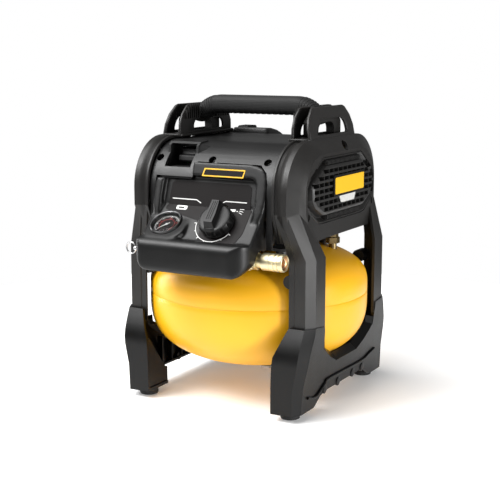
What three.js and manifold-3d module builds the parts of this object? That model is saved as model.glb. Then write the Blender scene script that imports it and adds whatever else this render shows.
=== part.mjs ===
// Pancake air compressor: a yellow disc-shaped tank carried between two moulded side frames,
// with the pump, motor, battery and controls under a shroud above it.
// Millimetres, +Z up, front towards -Y. The machine is drawn round the tank's axis
// and moved to the middle of its footprint at the end.
import * as THREE from 'three';
import { mergeVertices } from 'three/addons/utils/BufferGeometryUtils.js';
import Module from 'manifold-3d';

const wasm = await Module();
wasm.setup();

// Driving dimensions.
const GAP = 0.3;
const TANK_RADIUS = 153;
const TANK_SEAM_Z = 141.8;
const TANK_BOTTOM_Z = 40.3;
const TANK_TOP_Z = 209.3;
const TANK_WALL = 2.6;
const HALF_WIDTH = 144;
const FRONT_Y = -187.5;
const REAR_Y = TANK_RADIUS;
const LEG_SIDE_X = 142.5;
const FRAME_TOP_Z = 358;
const FRAME_RIM_Y = 138;
const FRAME_LIP_X = 93;
const PLATE_BOTTOM_Z = 229.5;
const WALL = 4;
const HANDLE_TOP_Z = 411;
const HOUSING_TOP_Z = 353;
const HOUSING_FRONT_Y = 133;
const HOUSING_RADIUS = 65;
const HOUSING_HALF_X = 92;
const HOUSING_WALL = 3;
const CONSOLE_HALF_X = 77;
const GAUGE_CENTRE = [-53, -155, 250.5];
const GAUGE_TILT = 33;
const KNOB_CENTRE = [22.4, -148, 253];
const KNOB_TILT = 47;
const AIR_LINE_Y = -140;
const AIR_LINE_Z = 209;
const CRANK = { y: -35, z: 266, throw: 7, x: -10, small: 293 };
const BORE = 22.4;
const MOTOR = { y: 21, z: 288 };
const BATTERY = { x0: -88, x1: -25, y0: 71.5, y1: 126.5, z0: 228, z1: 360 };
const DRAIN = { x: 0, y: 25 };
const CHECK_VALVE = { x: 93, y: 46 };

// ---------- shape helpers ----------

function signedVolume(position, index) {
  let total = 0;
  const a = new THREE.Vector3();
  const b = new THREE.Vector3();
  const c = new THREE.Vector3();
  for (let i = 0; i < index.count; i += 3) {
    a.fromBufferAttribute(position, index.getX(i));
    b.fromBufferAttribute(position, index.getX(i + 1));
    c.fromBufferAttribute(position, index.getX(i + 2));
    total += a.dot(b.cross(c));
  }
  return total / 6;
}

function solid(geometry) {
  const bare = geometry.clone();
  bare.deleteAttribute('normal');
  bare.deleteAttribute('uv');
  const merged = mergeVertices(bare, 1e-4);
  const triVerts = Uint32Array.from(merged.index.array);
  if (signedVolume(merged.attributes.position, merged.index) < 0) {
    for (let i = 0; i < triVerts.length; i += 3) {
      const swap = triVerts[i];
      triVerts[i] = triVerts[i + 1];
      triVerts[i + 1] = swap;
    }
  }
  const vertProperties = Float32Array.from(merged.attributes.position.array);
  return new wasm.Manifold(new wasm.Mesh({ numProp: 3, vertProperties, triVerts }));
}

function geometryOf(body) {
  const mesh = body.getMesh();
  const geometry = new THREE.BufferGeometry();
  const stride = mesh.numProp;
  const count = mesh.vertProperties.length / stride;
  const points = new Float32Array(count * 3);
  for (let i = 0; i < count; i += 1) {
    for (let k = 0; k < 3; k += 1) {
      points[i * 3 + k] = mesh.vertProperties[i * stride + k];
    }
  }
  geometry.setAttribute('position', new THREE.BufferAttribute(points, 3));
  geometry.setIndex(new THREE.BufferAttribute(Uint32Array.from(mesh.triVerts), 1));
  geometry.computeVertexNormals();
  return geometry;
}

function join(...bodies) {
  return bodies.reduce((sum, body) => sum.add(body));
}

function cut(body, ...tools) {
  return tools.reduce((rest, tool) => rest.subtract(tool), body);
}

const BASES = {
  x: [[0, 1, 0], [0, 0, 1], [1, 0, 0]],
  y: [[1, 0, 0], [0, 0, 1], [0, -1, 0]],
  z: [[1, 0, 0], [0, 1, 0], [0, 0, 1]],
};

// Straight prism: outline is (y,z) along x, (x,z) along y, or (x,y) along z.
function prism(axis, outline, from, to) {
  const shape = new THREE.Shape(outline.map(([a, b]) => new THREE.Vector2(a, b)));
  const geometry = new THREE.ExtrudeGeometry(shape, { depth: to - from, bevelEnabled: false });
  const [bx, by, bz] = BASES[axis].map((v) => new THREE.Vector3(...v));
  geometry.applyMatrix4(new THREE.Matrix4().makeBasis(bx, by, bz));
  const start = { x: [from, 0, 0], y: [0, to, 0], z: [0, 0, from] }[axis];
  geometry.translate(...start);
  return solid(geometry);
}

function box(x0, x1, y0, y1, z0, z1) {
  return prism('z', [[x0, y0], [x1, y0], [x1, y1], [x0, y1]], z0, z1);
}

// Box with rounded edges along one axis.
function roundBox(axis, a0, a1, b0, b1, from, to, radius) {
  return prism(axis, rounded([[a0, b0], [a1, b0], [a1, b1], [a0, b1]], radius), from, to);
}

// Rounds the corners of a closed outline.
function rounded(points, radius, steps = 3) {
  const out = [];
  const count = points.length;
  for (let i = 0; i < count; i += 1) {
    const here = new THREE.Vector2(...points[i]);
    const before = new THREE.Vector2(...points[(i + count - 1) % count]).sub(here);
    const after = new THREE.Vector2(...points[(i + 1) % count]).sub(here);
    const reach = Math.min(radius, before.length() * 0.45, after.length() * 0.45);
    const a = here.clone().add(before.setLength(reach));
    const b = here.clone().add(after.setLength(reach));
    for (let k = 0; k <= steps; k += 1) {
      const t = k / steps;
      const p = a.clone().multiplyScalar((1 - t) ** 2);
      p.addScaledVector(here, 2 * t * (1 - t));
      p.addScaledVector(b, t ** 2);
      out.push([p.x, p.y]);
    }
  }
  return out;
}

function flatArea(ring) {
  let area = 0;
  ring.forEach((p, i) => {
    const q = ring[(i + 1) % ring.length];
    area += p.x * q.y - q.x * p.y;
  });
  return area;
}

function capFaces(ring) {
  const normal = new THREE.Vector3();
  ring.forEach((p, i) => {
    const q = ring[(i + 1) % ring.length];
    normal.x += (p[1] - q[1]) * (p[2] + q[2]);
    normal.y += (p[2] - q[2]) * (p[0] + q[0]);
    normal.z += (p[0] - q[0]) * (p[1] + q[1]);
  });
  const size = [Math.abs(normal.x), Math.abs(normal.y), Math.abs(normal.z)];
  const drop = size.indexOf(Math.max(...size));
  const [u, v] = [[1, 2], [2, 0], [0, 1]][drop];
  const flat = ring.map((p) => new THREE.Vector2(p[u], p[v]));
  const turn = Math.sign(flatArea(flat));
  return THREE.ShapeUtils.triangulateShape(flat.map((p) => p.clone()), []).map((face) => {
    const same = Math.sign(flatArea(face.map((k) => flat[k]))) === turn;
    return same ? face : [face[0], face[2], face[1]];
  });
}

// Solid through a run of rings with the same number of points.
function loft(rings) {
  const size = rings[0].length;
  const index = [];
  capFaces(rings[0]).forEach(([a, b, c]) => index.push(a, c, b));
  for (let r = 0; r + 1 < rings.length; r += 1) {
    for (let i = 0; i < size; i += 1) {
      const a = r * size + i;
      const b = r * size + ((i + 1) % size);
      index.push(a, b, b + size, a, b + size, a + size);
    }
  }
  const last = (rings.length - 1) * size;
  capFaces(rings[rings.length - 1]).forEach((f) => index.push(...f.map((k) => k + last)));
  const geometry = new THREE.BufferGeometry();
  geometry.setAttribute('position', new THREE.Float32BufferAttribute(rings.flat(2), 3));
  geometry.setIndex(index);
  return solid(geometry);
}

// Body turned round an axis: profile is (radius, distance along the axis).
function turned(profile, origin, direction, segments = 28) {
  const points = profile.map(([r, h]) => new THREE.Vector2(Math.max(r, 0), h));
  const geometry = new THREE.LatheGeometry(points, segments);
  const up = new THREE.Vector3(0, 1, 0);
  const aim = new THREE.Vector3(...direction).normalize();
  geometry.applyQuaternion(new THREE.Quaternion().setFromUnitVectors(up, aim));
  geometry.translate(...origin);
  return solid(geometry);
}

function rod(origin, direction, radius, from, to, segments = 24) {
  return turned([[0, from], [radius, from], [radius, to], [0, to]], origin, direction, segments);
}

function pipe(origin, direction, inner, outer, from, to, segments = 32) {
  const wall = [[inner, from], [outer, from], [outer, to], [inner, to], [inner, from]];
  return turned(wall, origin, direction, segments);
}

// Round bar following a smooth path.
function bent(points, radius, steps = 24, around = 10) {
  const path = new THREE.CatmullRomCurve3(points.map((p) => new THREE.Vector3(...p)));
  const frames = path.computeFrenetFrames(steps, false);
  const rings = [];
  for (let i = 0; i <= steps; i += 1) {
    const centre = path.getPointAt(i / steps);
    const ring = [];
    for (let k = 0; k < around; k += 1) {
      const angle = (k / around) * 2 * Math.PI;
      const p = centre.clone().addScaledVector(frames.normals[i], radius * Math.cos(angle));
      p.addScaledVector(frames.binormals[i], radius * Math.sin(angle));
      ring.push([p.x, p.y, p.z]);
    }
    rings.push(ring);
  }
  return loft(rings);
}

function mirrorX(body) {
  return body.mirror([1, 0, 0]);
}

function mirrorY(body) {
  return body.mirror([0, 1, 0]);
}

const DEG = Math.PI / 180;

function tilted(degrees) {
  return [0, -Math.sin(degrees * DEG), Math.cos(degrees * DEG)];
}

function along(origin, direction, distance) {
  return origin.map((value, k) => value + direction[k] * distance);
}

// ---------- side frames ----------

// Outline of the arch seen from the side, drawn in at the sides and top.
function archOutline(inSide, inTop, bottom) {
  const side = FRAME_RIM_Y - inSide;
  const top = FRAME_TOP_Z - inTop;
  const radius = 66 - Math.min(inSide, inTop);
  const knee = side - 17;
  const points = [[-knee, bottom], [knee, bottom], [side, 268]];
  for (let i = 0; i <= 6; i += 1) {
    const angle = (i / 6) * 90 * DEG;
    points.push([side - radius + radius * Math.cos(angle), top - radius + radius * Math.sin(angle)]);
  }
  return [...points, ...points.slice(3).reverse().map(([y, z]) => [-y, z]), [-side, 268]];
}

function archShell() {
  const ring = (x, inSide, inTop, bottom) => archOutline(inSide, inTop, bottom).map((p) => [x, ...p]);
  const b = PLATE_BOTTOM_Z;
  const outer = loft([
    ring(FRAME_LIP_X, 0, 0, b),
    ring(114.7, 0, 0, b),
    ring(122.5, 20, 8, b),
    ring(127.5, 30, 18, b),
  ]);
  const inner = loft([
    ring(FRAME_LIP_X - 5, WALL, WALL, b + WALL),
    ring(113, WALL, WALL, b + WALL),
    ring(119.5, 23, 11, b + WALL),
    ring(123.5, 33, 21, b + WALL),
  ]);
  return cut(outer, inner);
}

// Section of a leg: a bent plate open towards the tank.
function legRing(z, x, y, xs, ys, back) {
  const w = WALL;
  return [
    [x, -y + 1.2, z], [x + 8, -y + 1.2, z], [x + 9, -y, z], [xs - 8.4, -y, z], [xs, -ys, z],
    [xs, -back, z], [xs - w, -back, z], [xs - w, -ys + 1, z], [xs - 10, -y + w, z],
    [x, -y + w, z],
  ];
}

function frontLeg() {
  return loft([
    legRing(300, FRAME_LIP_X, 138, 123.1, 118, 100),
    legRing(268, FRAME_LIP_X, 138, 123.1, 118, 100),
    legRing(210, 110, 121, LEG_SIDE_X, 107.5, 80),
    legRing(104, 110, 121, LEG_SIDE_X, 107.5, 80),
  ]);
}

const OCTAGON = [
  [-61, 335.8], [61, 335.8], [98, 311], [105.6, 300], [105.6, 280], [97, 266], [73, 251],
  [61, 249.6], [-61, 249.6], [-73, 251], [-97, 266], [-105.6, 280], [-105.6, 300], [-98, 311],
];

// The loops that hold the handle lean inwards as they rise.
function lean(body) {
  const slope = -0.195;
  return body.transform([1, 0, 0, 0, 0, 1, 0, 0, slope, 0, 1, 0, -slope * FRAME_TOP_Z, 0, 0, 1]);
}

const LOOP = [
  [-69, 357], [69, 357], [68, 372], [61, 386], [48, 398.5], [-48, 398.5], [-61, 386], [-68, 372],
];

function handleLoop() {
  const hole = rounded([[-47, 362.5], [47, 362.5], [44, 376], [36, 383], [-36, 383], [-44, 376]], 4);
  const outer = cut(prism('x', LOOP, 110.4, 114.2), prism('x', hole, 100, 120));
  const notch = [[-19, 370], [19, 370], [19, 420], [-19, 420]];
  const gap = rounded([[-47, 362.5], [47, 362.5], [44, 372], [36, 377], [-36, 377], [-44, 372]], 4);
  const inner = cut(prism('x', LOOP, 85, 88.6), prism('x', notch, 80, 95), prism('x', gap, 80, 95));
  const base = box(82, 114.2, -70, 70, 355.8, 359.4);
  return join(lean(outer), inner, base);
}

function sideFrame() {
  const body = join(archShell(), frontLeg(), mirrorY(frontLeg()), handleLoop());
  const screw = rod([118, 20, 347], [0.5, 0, 1], 4, -12, 12, 12);
  const recess = rod([112, -96, 262], [1, -0.4, 0], 4.5, -4, 20, 12);
  return cut(body, prism('x', OCTAGON, 110, 135), screw, recess);
}

function sideGrille() {
  const ring = (x, scale, outline) => outline.map(([y, z]) => [x, y * scale, 293 + (z - 293) * scale]);
  const face = [
    [-47, 327], [47, 327], [80, 314], [88.5, 301], [88.5, 278], [80, 266], [62, 260.5],
    [50, 259.6], [-50, 259.6], [-62, 260.5], [-80, 266], [-88.5, 278], [-88.5, 301], [-80, 314],
  ];
  const outer = loft([ring(121.5, 0.995, OCTAGON), ring(125, 0.995, OCTAGON), ring(131.5, 1, face)]);
  const inner = loft([ring(119, 0.955, OCTAGON), ring(122.5, 0.955, OCTAGON), ring(129, 0.97, face)]);
  const slots = [];
  for (let row = 0; row < 7; row += 1) {
    const z = 265 + row * 9;
    const reach = [58, 74, 82, 84, 82, 72, 56][row];
    slots.push(box(120, 136, -reach, -reach / 3 - 1.5, z - 1.7, z + 1.7));
    slots.push(box(120, 136, -reach / 3 + 1.5, reach / 3 - 1.5, z - 1.7, z + 1.7));
    slots.push(box(120, 136, reach / 3 + 1.5, reach, z - 1.7, z + 1.7));
  }
  return cut(outer, inner, ...slots);
}

function badge() {
  return roundBox('x', -36, 60, 283, 309.5, 131.5 + GAP, 133.6, 3);
}

// ---------- foot rails, pads and tank mounts ----------

const RAIL_SIDE = [[133, 8], [133.5, 30], [135, 45], [137.5, 60], [141, 81], [HALF_WIDTH, 112], [HALF_WIDTH, 124]];

function railSideWall() {
  const outline = [
    [-129, 10], [-75, 10], [-70, 24], [70, 24], [75, 10], [129, 10], [127, 45], [121, 88],
    [109, 122], [83, 119], [80, 88], [55, 71], [33, 61], [-33, 61], [-55, 71], [-80, 88],
    [-83, 119], [-109, 122], [-121, 88], [-127, 45],
  ];
  const slab = [...RAIL_SIDE, ...RAIL_SIDE.map(([x, z]) => [x - 5, z]).reverse()];
  const wall = prism('x', outline, 120, 150).intersect(prism('y', slab, -150, 150));
  return cut(wall, legClearance());
}

// Room for the lower ends of the legs, which sit inside the rail.
function legClearance() {
  const ring = (z) => [
    [105, -121.4, z], [134.5, -121.4, z], [LEG_SIDE_X + 0.4, -108, z],
    [LEG_SIDE_X + 0.4, -70, z], [105, -70, z],
  ];
  const front = loft([ring(103.6), ring(130)]);
  return join(front, mirrorY(front));
}

function bootRing(z, x0, x1, xs, y, ys) {
  const w = WALL;
  return [
    [x0, -y, z], [x1, -y, z], [xs, -ys, z], [xs - w - 1, -ys + 2, z], [x1 - w, -y + w, z],
    [x0, -y + w, z],
  ];
}

function bootFront() {
  const skin = loft([
    bootRing(10, 95, 125.3, 133, 141.5, 129),
    bootRing(45, 95, 126.6, 135, 141.5, 127.2),
    bootRing(81, 96, 133.4, 141, 141.5, 122),
    bootRing(92, 100.5, 134, 142.2, 139, 119),
    bootRing(122, 113, 135.5, HALF_WIDTH, 125.6, 109),
  ]);
  const sole = prism('z', [[95, -141.5], [125.3, -141.5], [133, -129], [133, -92], [95, -92]], 10, 14);
  const web = prism('x', [[-138, 12], [-92, 12], [-92, 30], [-134, 84], [-138, 84]], 97, 100);
  const rib = box(97, 131, -93.5, -90.5, 12, 34);
  return cut(join(skin, sole, web, rib), legClearance());
}

// Sloping ledge along the top of the lower side rail.
function railLedge() {
  const path = [[-79.6, 98, 142.2], [-78.5, 88, 141.7], [-54, 71, 139], [-33, 61, 137.4]];
  const line = [...path, ...path.map(([y, z, x]) => [-y, z, x]).reverse()];
  return loft(line.map(([y, z, x]) => {
    const rise = Math.abs(y) > 77 ? 3 : 9;
    const draw = 0.92;
    return [[x, y, z], [x - 9, y * draw, z + rise], [x - 9, y * draw, z + rise - 4], [x - 4.5, y, z - 4]];
  }));
}

function footRail() {
  const bead = [[-100, 28], [-85, 27], [-52, 40], [52, 40], [85, 44], [95, 48]];
  const low = bead.map(([y, z]) => [y, z - 2.5]).reverse();
  const slab = RAIL_SIDE.map(([x, z]) => [x + 1.2, z]);
  const stripe = [...slab, ...RAIL_SIDE.map(([x, z]) => [x - 2, z]).reverse()];
  const raised = prism('x', [...bead, ...low], 120, 150).intersect(prism('y', stripe, -150, 150));
  const boots = join(bootFront(), mirrorY(bootFront()));
  const web = prism('x', [
    [138, 12], [92, 12], [70, 27], [42, 27], [42, 55], [60, 57], [70, 60], [92, 72], [108, 88],
    [130, 88], [138, 84],
  ], 97, 100);
  const tie = box(97, 132, 40, 43, 25.5, 50);
  return join(railSideWall(), boots, cut(railLedge(), legClearance()), raised, web, tie);
}

function footPad() {
  const profile = [[0, 0], [11.5, 0], [13, 1.5], [13, 10 - GAP], [0, 10 - GAP]];
  return turned(profile, [111, -116, 0], [0, 0, 1], 24);
}

function tankMount() {
  const block = rod([109, 0, 180], [0, 1, 0], 9, -117 + GAP, -98, 20);
  return cut(block, tankSolid(GAP));
}

// ---------- handle ----------

function handleSection(s, halfHeight, halfDepth, count = 12) {
  const bend = 38;
  const straight = 60;
  const top = HANDLE_TOP_Z - 13;
  const x = Math.abs(s);
  const side = Math.sign(s);
  const angle = x <= straight ? 0 : (x - straight) / bend;
  const cx = x <= straight ? x : straight + bend * Math.sin(angle);
  const cz = x <= straight ? top : top - bend * (1 - Math.cos(angle));
  const ring = [];
  for (let i = 0; i < count; i += 1) {
    const t = (i / count) * 2 * Math.PI;
    const a = Math.sign(Math.cos(t)) * Math.abs(Math.cos(t)) ** 0.7 * halfDepth;
    const b = Math.sign(Math.sin(t)) * Math.abs(Math.sin(t)) ** 0.7 * halfHeight;
    ring.push([side * (cx + b * Math.sin(angle)), a, cz + b * Math.cos(angle)]);
  }
  return ring;
}

function handleBar(sections) {
  const half = sections.map(([s, h, d]) => handleSection(s, h, d));
  const other = sections.map(([s, h, d]) => handleSection(-s, h, d)).reverse();
  return loft([...other, ...half]);
}

function handleCore() {
  const bar = handleBar([[20, 8.5, 11], [60, 8.5, 11], [78, 7.5, 12], [96, 7, 14], [104, 7, 15]]);
  const saddle = roundBox('z', 89.6, 103, -45, 45, 377, 387, 4);
  const leg = roundBox('z', 91, 103, 24, 45, 359.4 + GAP, 378, 3);
  const end = join(saddle, leg, mirrorY(leg));
  return join(bar, end, mirrorX(end));
}

function handleGrip() {
  const outside = handleBar([[20, 13, 16], [60, 13, 16], [76, 12, 16], [92, 10.5, 16], [100, 9.8, 15.5]]);
  const inside = handleBar([[20, 8.8, 11.3], [60, 8.8, 11.3], [78, 7.8, 12.3], [96, 7.3, 14.3], [112, 7.3, 17.3]]);
  const room = box(89.6 - GAP, 110, -50, 50, 360, 387 + GAP);
  return cut(outside, inside, room, mirrorX(room));
}

// ---------- shroud ----------

function shroudOutline(inset) {
  const r = HOUSING_RADIUS - inset;
  const points = [[0, HOUSING_TOP_Z - inset]];
  for (let i = 0; i <= 8; i += 1) {
    const angle = (90 - (i / 8) * 90) * DEG;
    points.push([-(HOUSING_FRONT_Y - HOUSING_RADIUS) - r * Math.cos(angle), 288 + r * Math.sin(angle)]);
  }
  points.push([-(HOUSING_FRONT_Y - inset), 222]);
  points.push([0, 222]);
  return points;
}

function shroudHalf() {
  const x = HOUSING_HALF_X;
  const outer = prism('x', shroudOutline(0), -x, x);
  const inner = prism('x', shroudOutline(HOUSING_WALL), -x - 1, x + 1).translate([0, 0, -0.01]);
  const low = box(-x - 1, x + 1, -HOUSING_FRONT_Y + HOUSING_WALL, 1, 200, 230);
  const split = box(-x - 1, x + 1, -0.2, 2, 200, 400);
  return cut(outer, inner, low, split);
}

function shroudFront() {
  const shell = shroudHalf();
  const bay = box(-CONSOLE_HALF_X - 0.6, CONSOLE_HALF_X + 0.6, -200, -100, 200, 315.8);
  const whole = prism('x', shroudOutline(0), -81, -31);
  const liner = box(-81, -31, -126, -84, 316.3, 353).intersect(whole);
  const pocket = box(-78, -34, -140, -88, 319.3, 350);
  const slot = box(-69.6, -41.4, -90, -80, 321.4, 345);
  const hood = prism('x', [[-96, 322], [-118, 330], [-107, 350], [-86, 350]], -33.8, -30);
  const screws = [[-22, -103], [80, -103]].map(([x, y]) => rod([x, y, 334], [0, -0.75, 0.65], 4.2, -3, 20, 12));
  const pod = rod(GAUGE_CENTRE, tilted(GAUGE_TILT), 25.6, -40, 4, 24);
  return cut(join(cut(shell, bay), liner, hood), pocket, slot, pod, ...screws);
}

function shroudRear() {
  const b = BATTERY;
  const well = box(b.x0 - 0.8, b.x1 + 0.8, b.y0 - 0.8, b.y1 + 0.8, 240, 400);
  const vents = [];
  for (let i = 0; i < 6; i += 1) {
    vents.push(box(10, 78, 120, 140, 246 + i * 9, 250 + i * 9));
  }
  return cut(mirrorY(shroudHalf()), well, ...vents);
}

// ---------- console ----------

const CONSOLE = [
  [-112, 222], [-133, 216], [-149, 208], [-164, 196], [-178, 189.5], [-184.5, 192], [-187, 200],
  [FRONT_Y, 224], [-185, 230], [-179, 233], [-167, 233.2], [-131, 271.8], [-122, 304],
  [-118, 311], [-112, 314.5],
];

const CONSOLE_INSIDE = [
  [-100, 180], [-175, 180], [-181.5, 194.5], [-184, 201], [-184.5, 223.5], [-182.5, 228],
  [-178, 230], [-165.6, 230.4], [-128.3, 270.5], [-119.2, 302.6], [-116, 308.6], [-111, 311.4],
  [-100, 312],
];

function consoleShell() {
  const x = CONSOLE_HALF_X;
  const block = prism('x', CONSOLE, -x, x);
  const corners = rounded([[-x, 186], [x, 186], [x, 330], [-x, 330]], 16, 4);
  const rounding = prism('y', corners, -200, -100);
  const plan = prism('z', rounded([[-x, FRONT_Y], [x, FRONT_Y], [x, -60], [-x, -60]], 12, 4), 180, 330);
  const skin = block.intersect(rounding).intersect(plan);
  const inside = prism('x', CONSOLE_INSIDE, -x + 3, x - 3);
  const n = tilted(GAUGE_TILT);
  const pod = rod(GAUGE_CENTRE, n, 25, -34, -1, 36).subtract(rod(GAUGE_CENTRE, n, 22.4, -60, 2, 36));
  const podHole = rod(GAUGE_CENTRE, n, 22.4, -60, 20, 36);
  const trimmed = cut(pod, box(-90, 0, -200, -100, 100, 221), box(-90, -20, -112, -100, 100, 400));
  const stem = rod(KNOB_CENTRE, tilted(KNOB_TILT), 6, -20, 20, 16);
  const outlet = rod([0, AIR_LINE_Y, AIR_LINE_Z], [1, 0, 0], 13.2, 60, 90, 24);
  const relief = rod([0, AIR_LINE_Y, AIR_LINE_Z], [1, 0, 0], 10, -90, -60, 24);
  return cut(join(cut(skin, inside, podHole), trimmed), stem, outlet, relief);
}

function labelPanel() {
  const low = [[-165.4, 235.3], [-131.5, 271.7], [-122.8, 302]];
  const high = low.map(([y, z]) => [y - 0.7, z + 0.6]).reverse();
  const sheet = prism('x', [...low, ...high], -62, 62);
  const corner = box(-70, -18, -200, -100, 200, 266);
  const right = box(56, 70, -200, -100, 200, 256);
  const stem = rod(KNOB_CENTRE, tilted(KNOB_TILT), 7, -20, 20, 16);
  return cut(sheet, corner, right, stem);
}

function gaugeCase() {
  const profile = [
    [0, -26], [6, -26], [6, -16], [20.5, -16], [22, -12], [22, 1], [21, 2], [19.5, 2], [19, 0.5],
    [19, -5], [0, -5],
  ];
  return turned(profile, GAUGE_CENTRE, tilted(GAUGE_TILT), 28);
}

function gaugeDial() {
  const n = tilted(GAUGE_TILT);
  return rod(GAUGE_CENTRE, n, 18.6, -4.7, -4, 36).subtract(rod(GAUGE_CENTRE, n, 1, -6, 0, 10));
}

function gaugeNeedle() {
  const n = tilted(GAUGE_TILT);
  const rotate = new THREE.Quaternion().setFromUnitVectors(new THREE.Vector3(0, 0, 1), new THREE.Vector3(...n));
  const spin = new THREE.Quaternion().setFromAxisAngle(new THREE.Vector3(0, 0, 1), 135 * DEG);
  const shape = new THREE.Shape([[0, -5], [1.1, 0], [0.4, 15], [-0.4, 15], [-1.1, 0]].map((p) => new THREE.Vector2(...p)));
  const blade = new THREE.ExtrudeGeometry(shape, { depth: 0.7, bevelEnabled: false });
  blade.translate(0, 0, -3.4);
  blade.applyQuaternion(spin);
  blade.applyQuaternion(rotate);
  blade.translate(...GAUGE_CENTRE);
  return join(solid(blade), rod(GAUGE_CENTRE, n, 2.2, -3.4, -2, 14));
}

function gaugeLens() {
  return turned([[0, -1], [18.6, -1], [18.6, 0.4], [0, 1.2]], GAUGE_CENTRE, tilted(GAUGE_TILT), 36);
}

function regulatorBonnet() {
  const n = tilted(KNOB_TILT);
  return join(rod(KNOB_CENTRE, n, 13, -25.5, -8, 24), rod(KNOB_CENTRE, n, 4, -9, 9, 16));
}

function regulatorKnob() {
  const n = tilted(KNOB_TILT);
  const base = turned([[0, 2.2], [23.6, 2.2], [23.6, 8], [20, 15], [0, 16]], KNOB_CENTRE, n, 36);
  const t = [0, Math.cos(KNOB_TILT * DEG), Math.sin(KNOB_TILT * DEG)];
  const corner = (a, b, h) => [
    KNOB_CENTRE[0] + a,
    KNOB_CENTRE[1] + t[1] * b + n[1] * h,
    KNOB_CENTRE[2] + t[2] * b + n[2] * h,
  ];
  const low = [corner(-9, -21, 6), corner(9, -21, 6), corner(9, 22, 6), corner(-9, 22, 6)];
  const high = [corner(-6, -17, 27), corner(6, -17, 27), corner(6, 20, 30), corner(-6, 20, 30)];
  return cut(join(base, loft([low, high])), rod(KNOB_CENTRE, n, 4 + GAP, 0, 9 + GAP, 16));
}

function rockerSwitch() {
  const outline = [[-85, 324], [-92, 324], [-97.5, 331], [-94.5, 333.5], [-92, 342], [-85, 342]];
  return prism('x', outline, -69, -42);
}

// ---------- air line ----------

function manifold() {
  const block = roundBox('x', -151, -127, 199, 219.5, -66, 66, 3);
  const n = tilted(KNOB_TILT);
  const seat = rod(KNOB_CENTRE, n, 14, -46, -25.5 - GAP, 24);
  const gaugePort = rod(GAUGE_CENTRE, tilted(GAUGE_TILT), 7.5, -42, -26 - GAP, 20);
  return join(block, seat, gaugePort);
}

const AIR_LINE = [0, AIR_LINE_Y, AIR_LINE_Z];

function safetyValve() {
  const profile = [
    [0, 66 + GAP], [6, 66 + GAP], [6, 70], [8.5, 70.5], [8.5, 76], [7, 76.5], [7, 96], [5, 99],
    [2.4, 99], [2.4, 80], [0, 80],
  ];
  return turned(profile, AIR_LINE, [-1, 0, 0], 20);
}

function safetyValveStem() {
  const stem = rod(AIR_LINE, [-1, 0, 0], 2, 82, 110, 14);
  const eye = new THREE.SphereGeometry(3.6, 12, 8);
  eye.translate(-112, AIR_LINE_Y, AIR_LINE_Z);
  return cut(join(stem, solid(eye)), rod([-112.6, AIR_LINE_Y, AIR_LINE_Z], [0, 0, 1], 2.1, -6, 6, 12));
}

function safetyValveRing() {
  const ring = new THREE.TorusGeometry(7.6, 1, 7, 24);
  ring.rotateX(Math.PI / 2);
  ring.translate(-120, AIR_LINE_Y, AIR_LINE_Z);
  return solid(ring);
}

function couplerBody() {
  const profile = [
    [0, 66 + GAP], [12, 66 + GAP], [12, 77], [9, 77.5], [9, 111], [8.2, 112], [5.6, 112],
    [5.6, 84], [0, 84],
  ];
  return turned(profile, AIR_LINE, [1, 0, 0], 20);
}

function couplerSleeve() {
  const r = 9 + GAP;
  const profile = [
    [r, 84], [11, 84], [11.5, 85], [11.5, 101], [10.8, 102], [10.8, 103.5], [11.5, 104.5],
    [11.5, 108], [10.8, 109], [10.8, 110], [11.5, 111], [11.2, 115], [r, 115], [r, 84],
  ];
  return turned(profile, AIR_LINE, [1, 0, 0], 20);
}

function supplyTube() {
  return bent([[-40, -84, 196], [-40, -84, 204], [-40, -90, 210], [-40, -106, 210.5], [-40, -126.5, 210]], 4, 16, 12);
}

// ---------- tank ----------

function tankProfile(grow) {
  const lowDepth = TANK_SEAM_Z - TANK_BOTTOM_Z + grow;
  const highDepth = TANK_TOP_Z - TANK_SEAM_Z + grow;
  const radius = TANK_RADIUS + grow;
  const side = (depth, sign) => {
    const points = [];
    for (let i = 0; i <= 7; i += 1) {
      const t = Math.sin((i / 7) * 90 * DEG);
      const r = radius * Math.max(0, 1 - t ** 2.76) ** (1 / 2.2);
      points.push([i === 7 ? 0 : r, sign * (8.9 + t * (depth - 8.9))]);
    }
    return points;
  };
  return { low: side(lowDepth, -1), high: side(highDepth, 1) };
}

function tankSolid(grow) {
  const { low, high } = tankProfile(grow);
  const outline = [...low.slice().reverse(), ...high];
  return turned(outline, [0, 0, TANK_SEAM_Z], [0, 0, 1], 44);
}

function tankUpper() {
  const inside = tankSolid(-TANK_WALL);
  const lower = box(-200, 200, -200, 200, 0, TANK_SEAM_Z + 0.2);
  const ports = [
    rod([-40, -84, 190], [0, 0, 1], 4.4, -10, 30, 16),
    rod([CHECK_VALVE.x, CHECK_VALVE.y, 190], [0, 0, 1], 6, -20, 30, 16),
  ];
  return cut(tankSolid(0), inside, lower, ...ports);
}

function tankLower() {
  const inside = tankSolid(-TANK_WALL);
  const upper = box(-200, 200, -200, 200, TANK_SEAM_Z - 0.2, 300);
  return cut(tankSolid(0), inside, upper, rod([DRAIN.x, DRAIN.y, 40], [0, 0, 1], 5.4, -20, 20, 16));
}

function drainValve() {
  const spigot = rod([DRAIN.x, DRAIN.y, 0], [0, 0, 1], 5, 30, 48, 16);
  const body = roundBox('z', -9, 9, 16, 34, 23, 35, 4);
  const nozzle = pipe([9, DRAIN.y, 29], [1, 0, 0], 2.5, 5, -1, 14, 16);
  const stem = rod([DRAIN.x, DRAIN.y, 0], [0, 0, 1], 2.5, 16, 24, 12);
  return join(spigot, body, nozzle, stem);
}

function drainLever() {
  const blade = prism('z', rounded([[-7, 18], [7, 18], [7, 32], [5, 74], [-5, 74], [-7, 32]], 3), 17, 20.5);
  return cut(blade, rod([DRAIN.x, DRAIN.y, 0], [0, 0, 1], 2.5 + GAP, 10, 30, 12));
}

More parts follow.
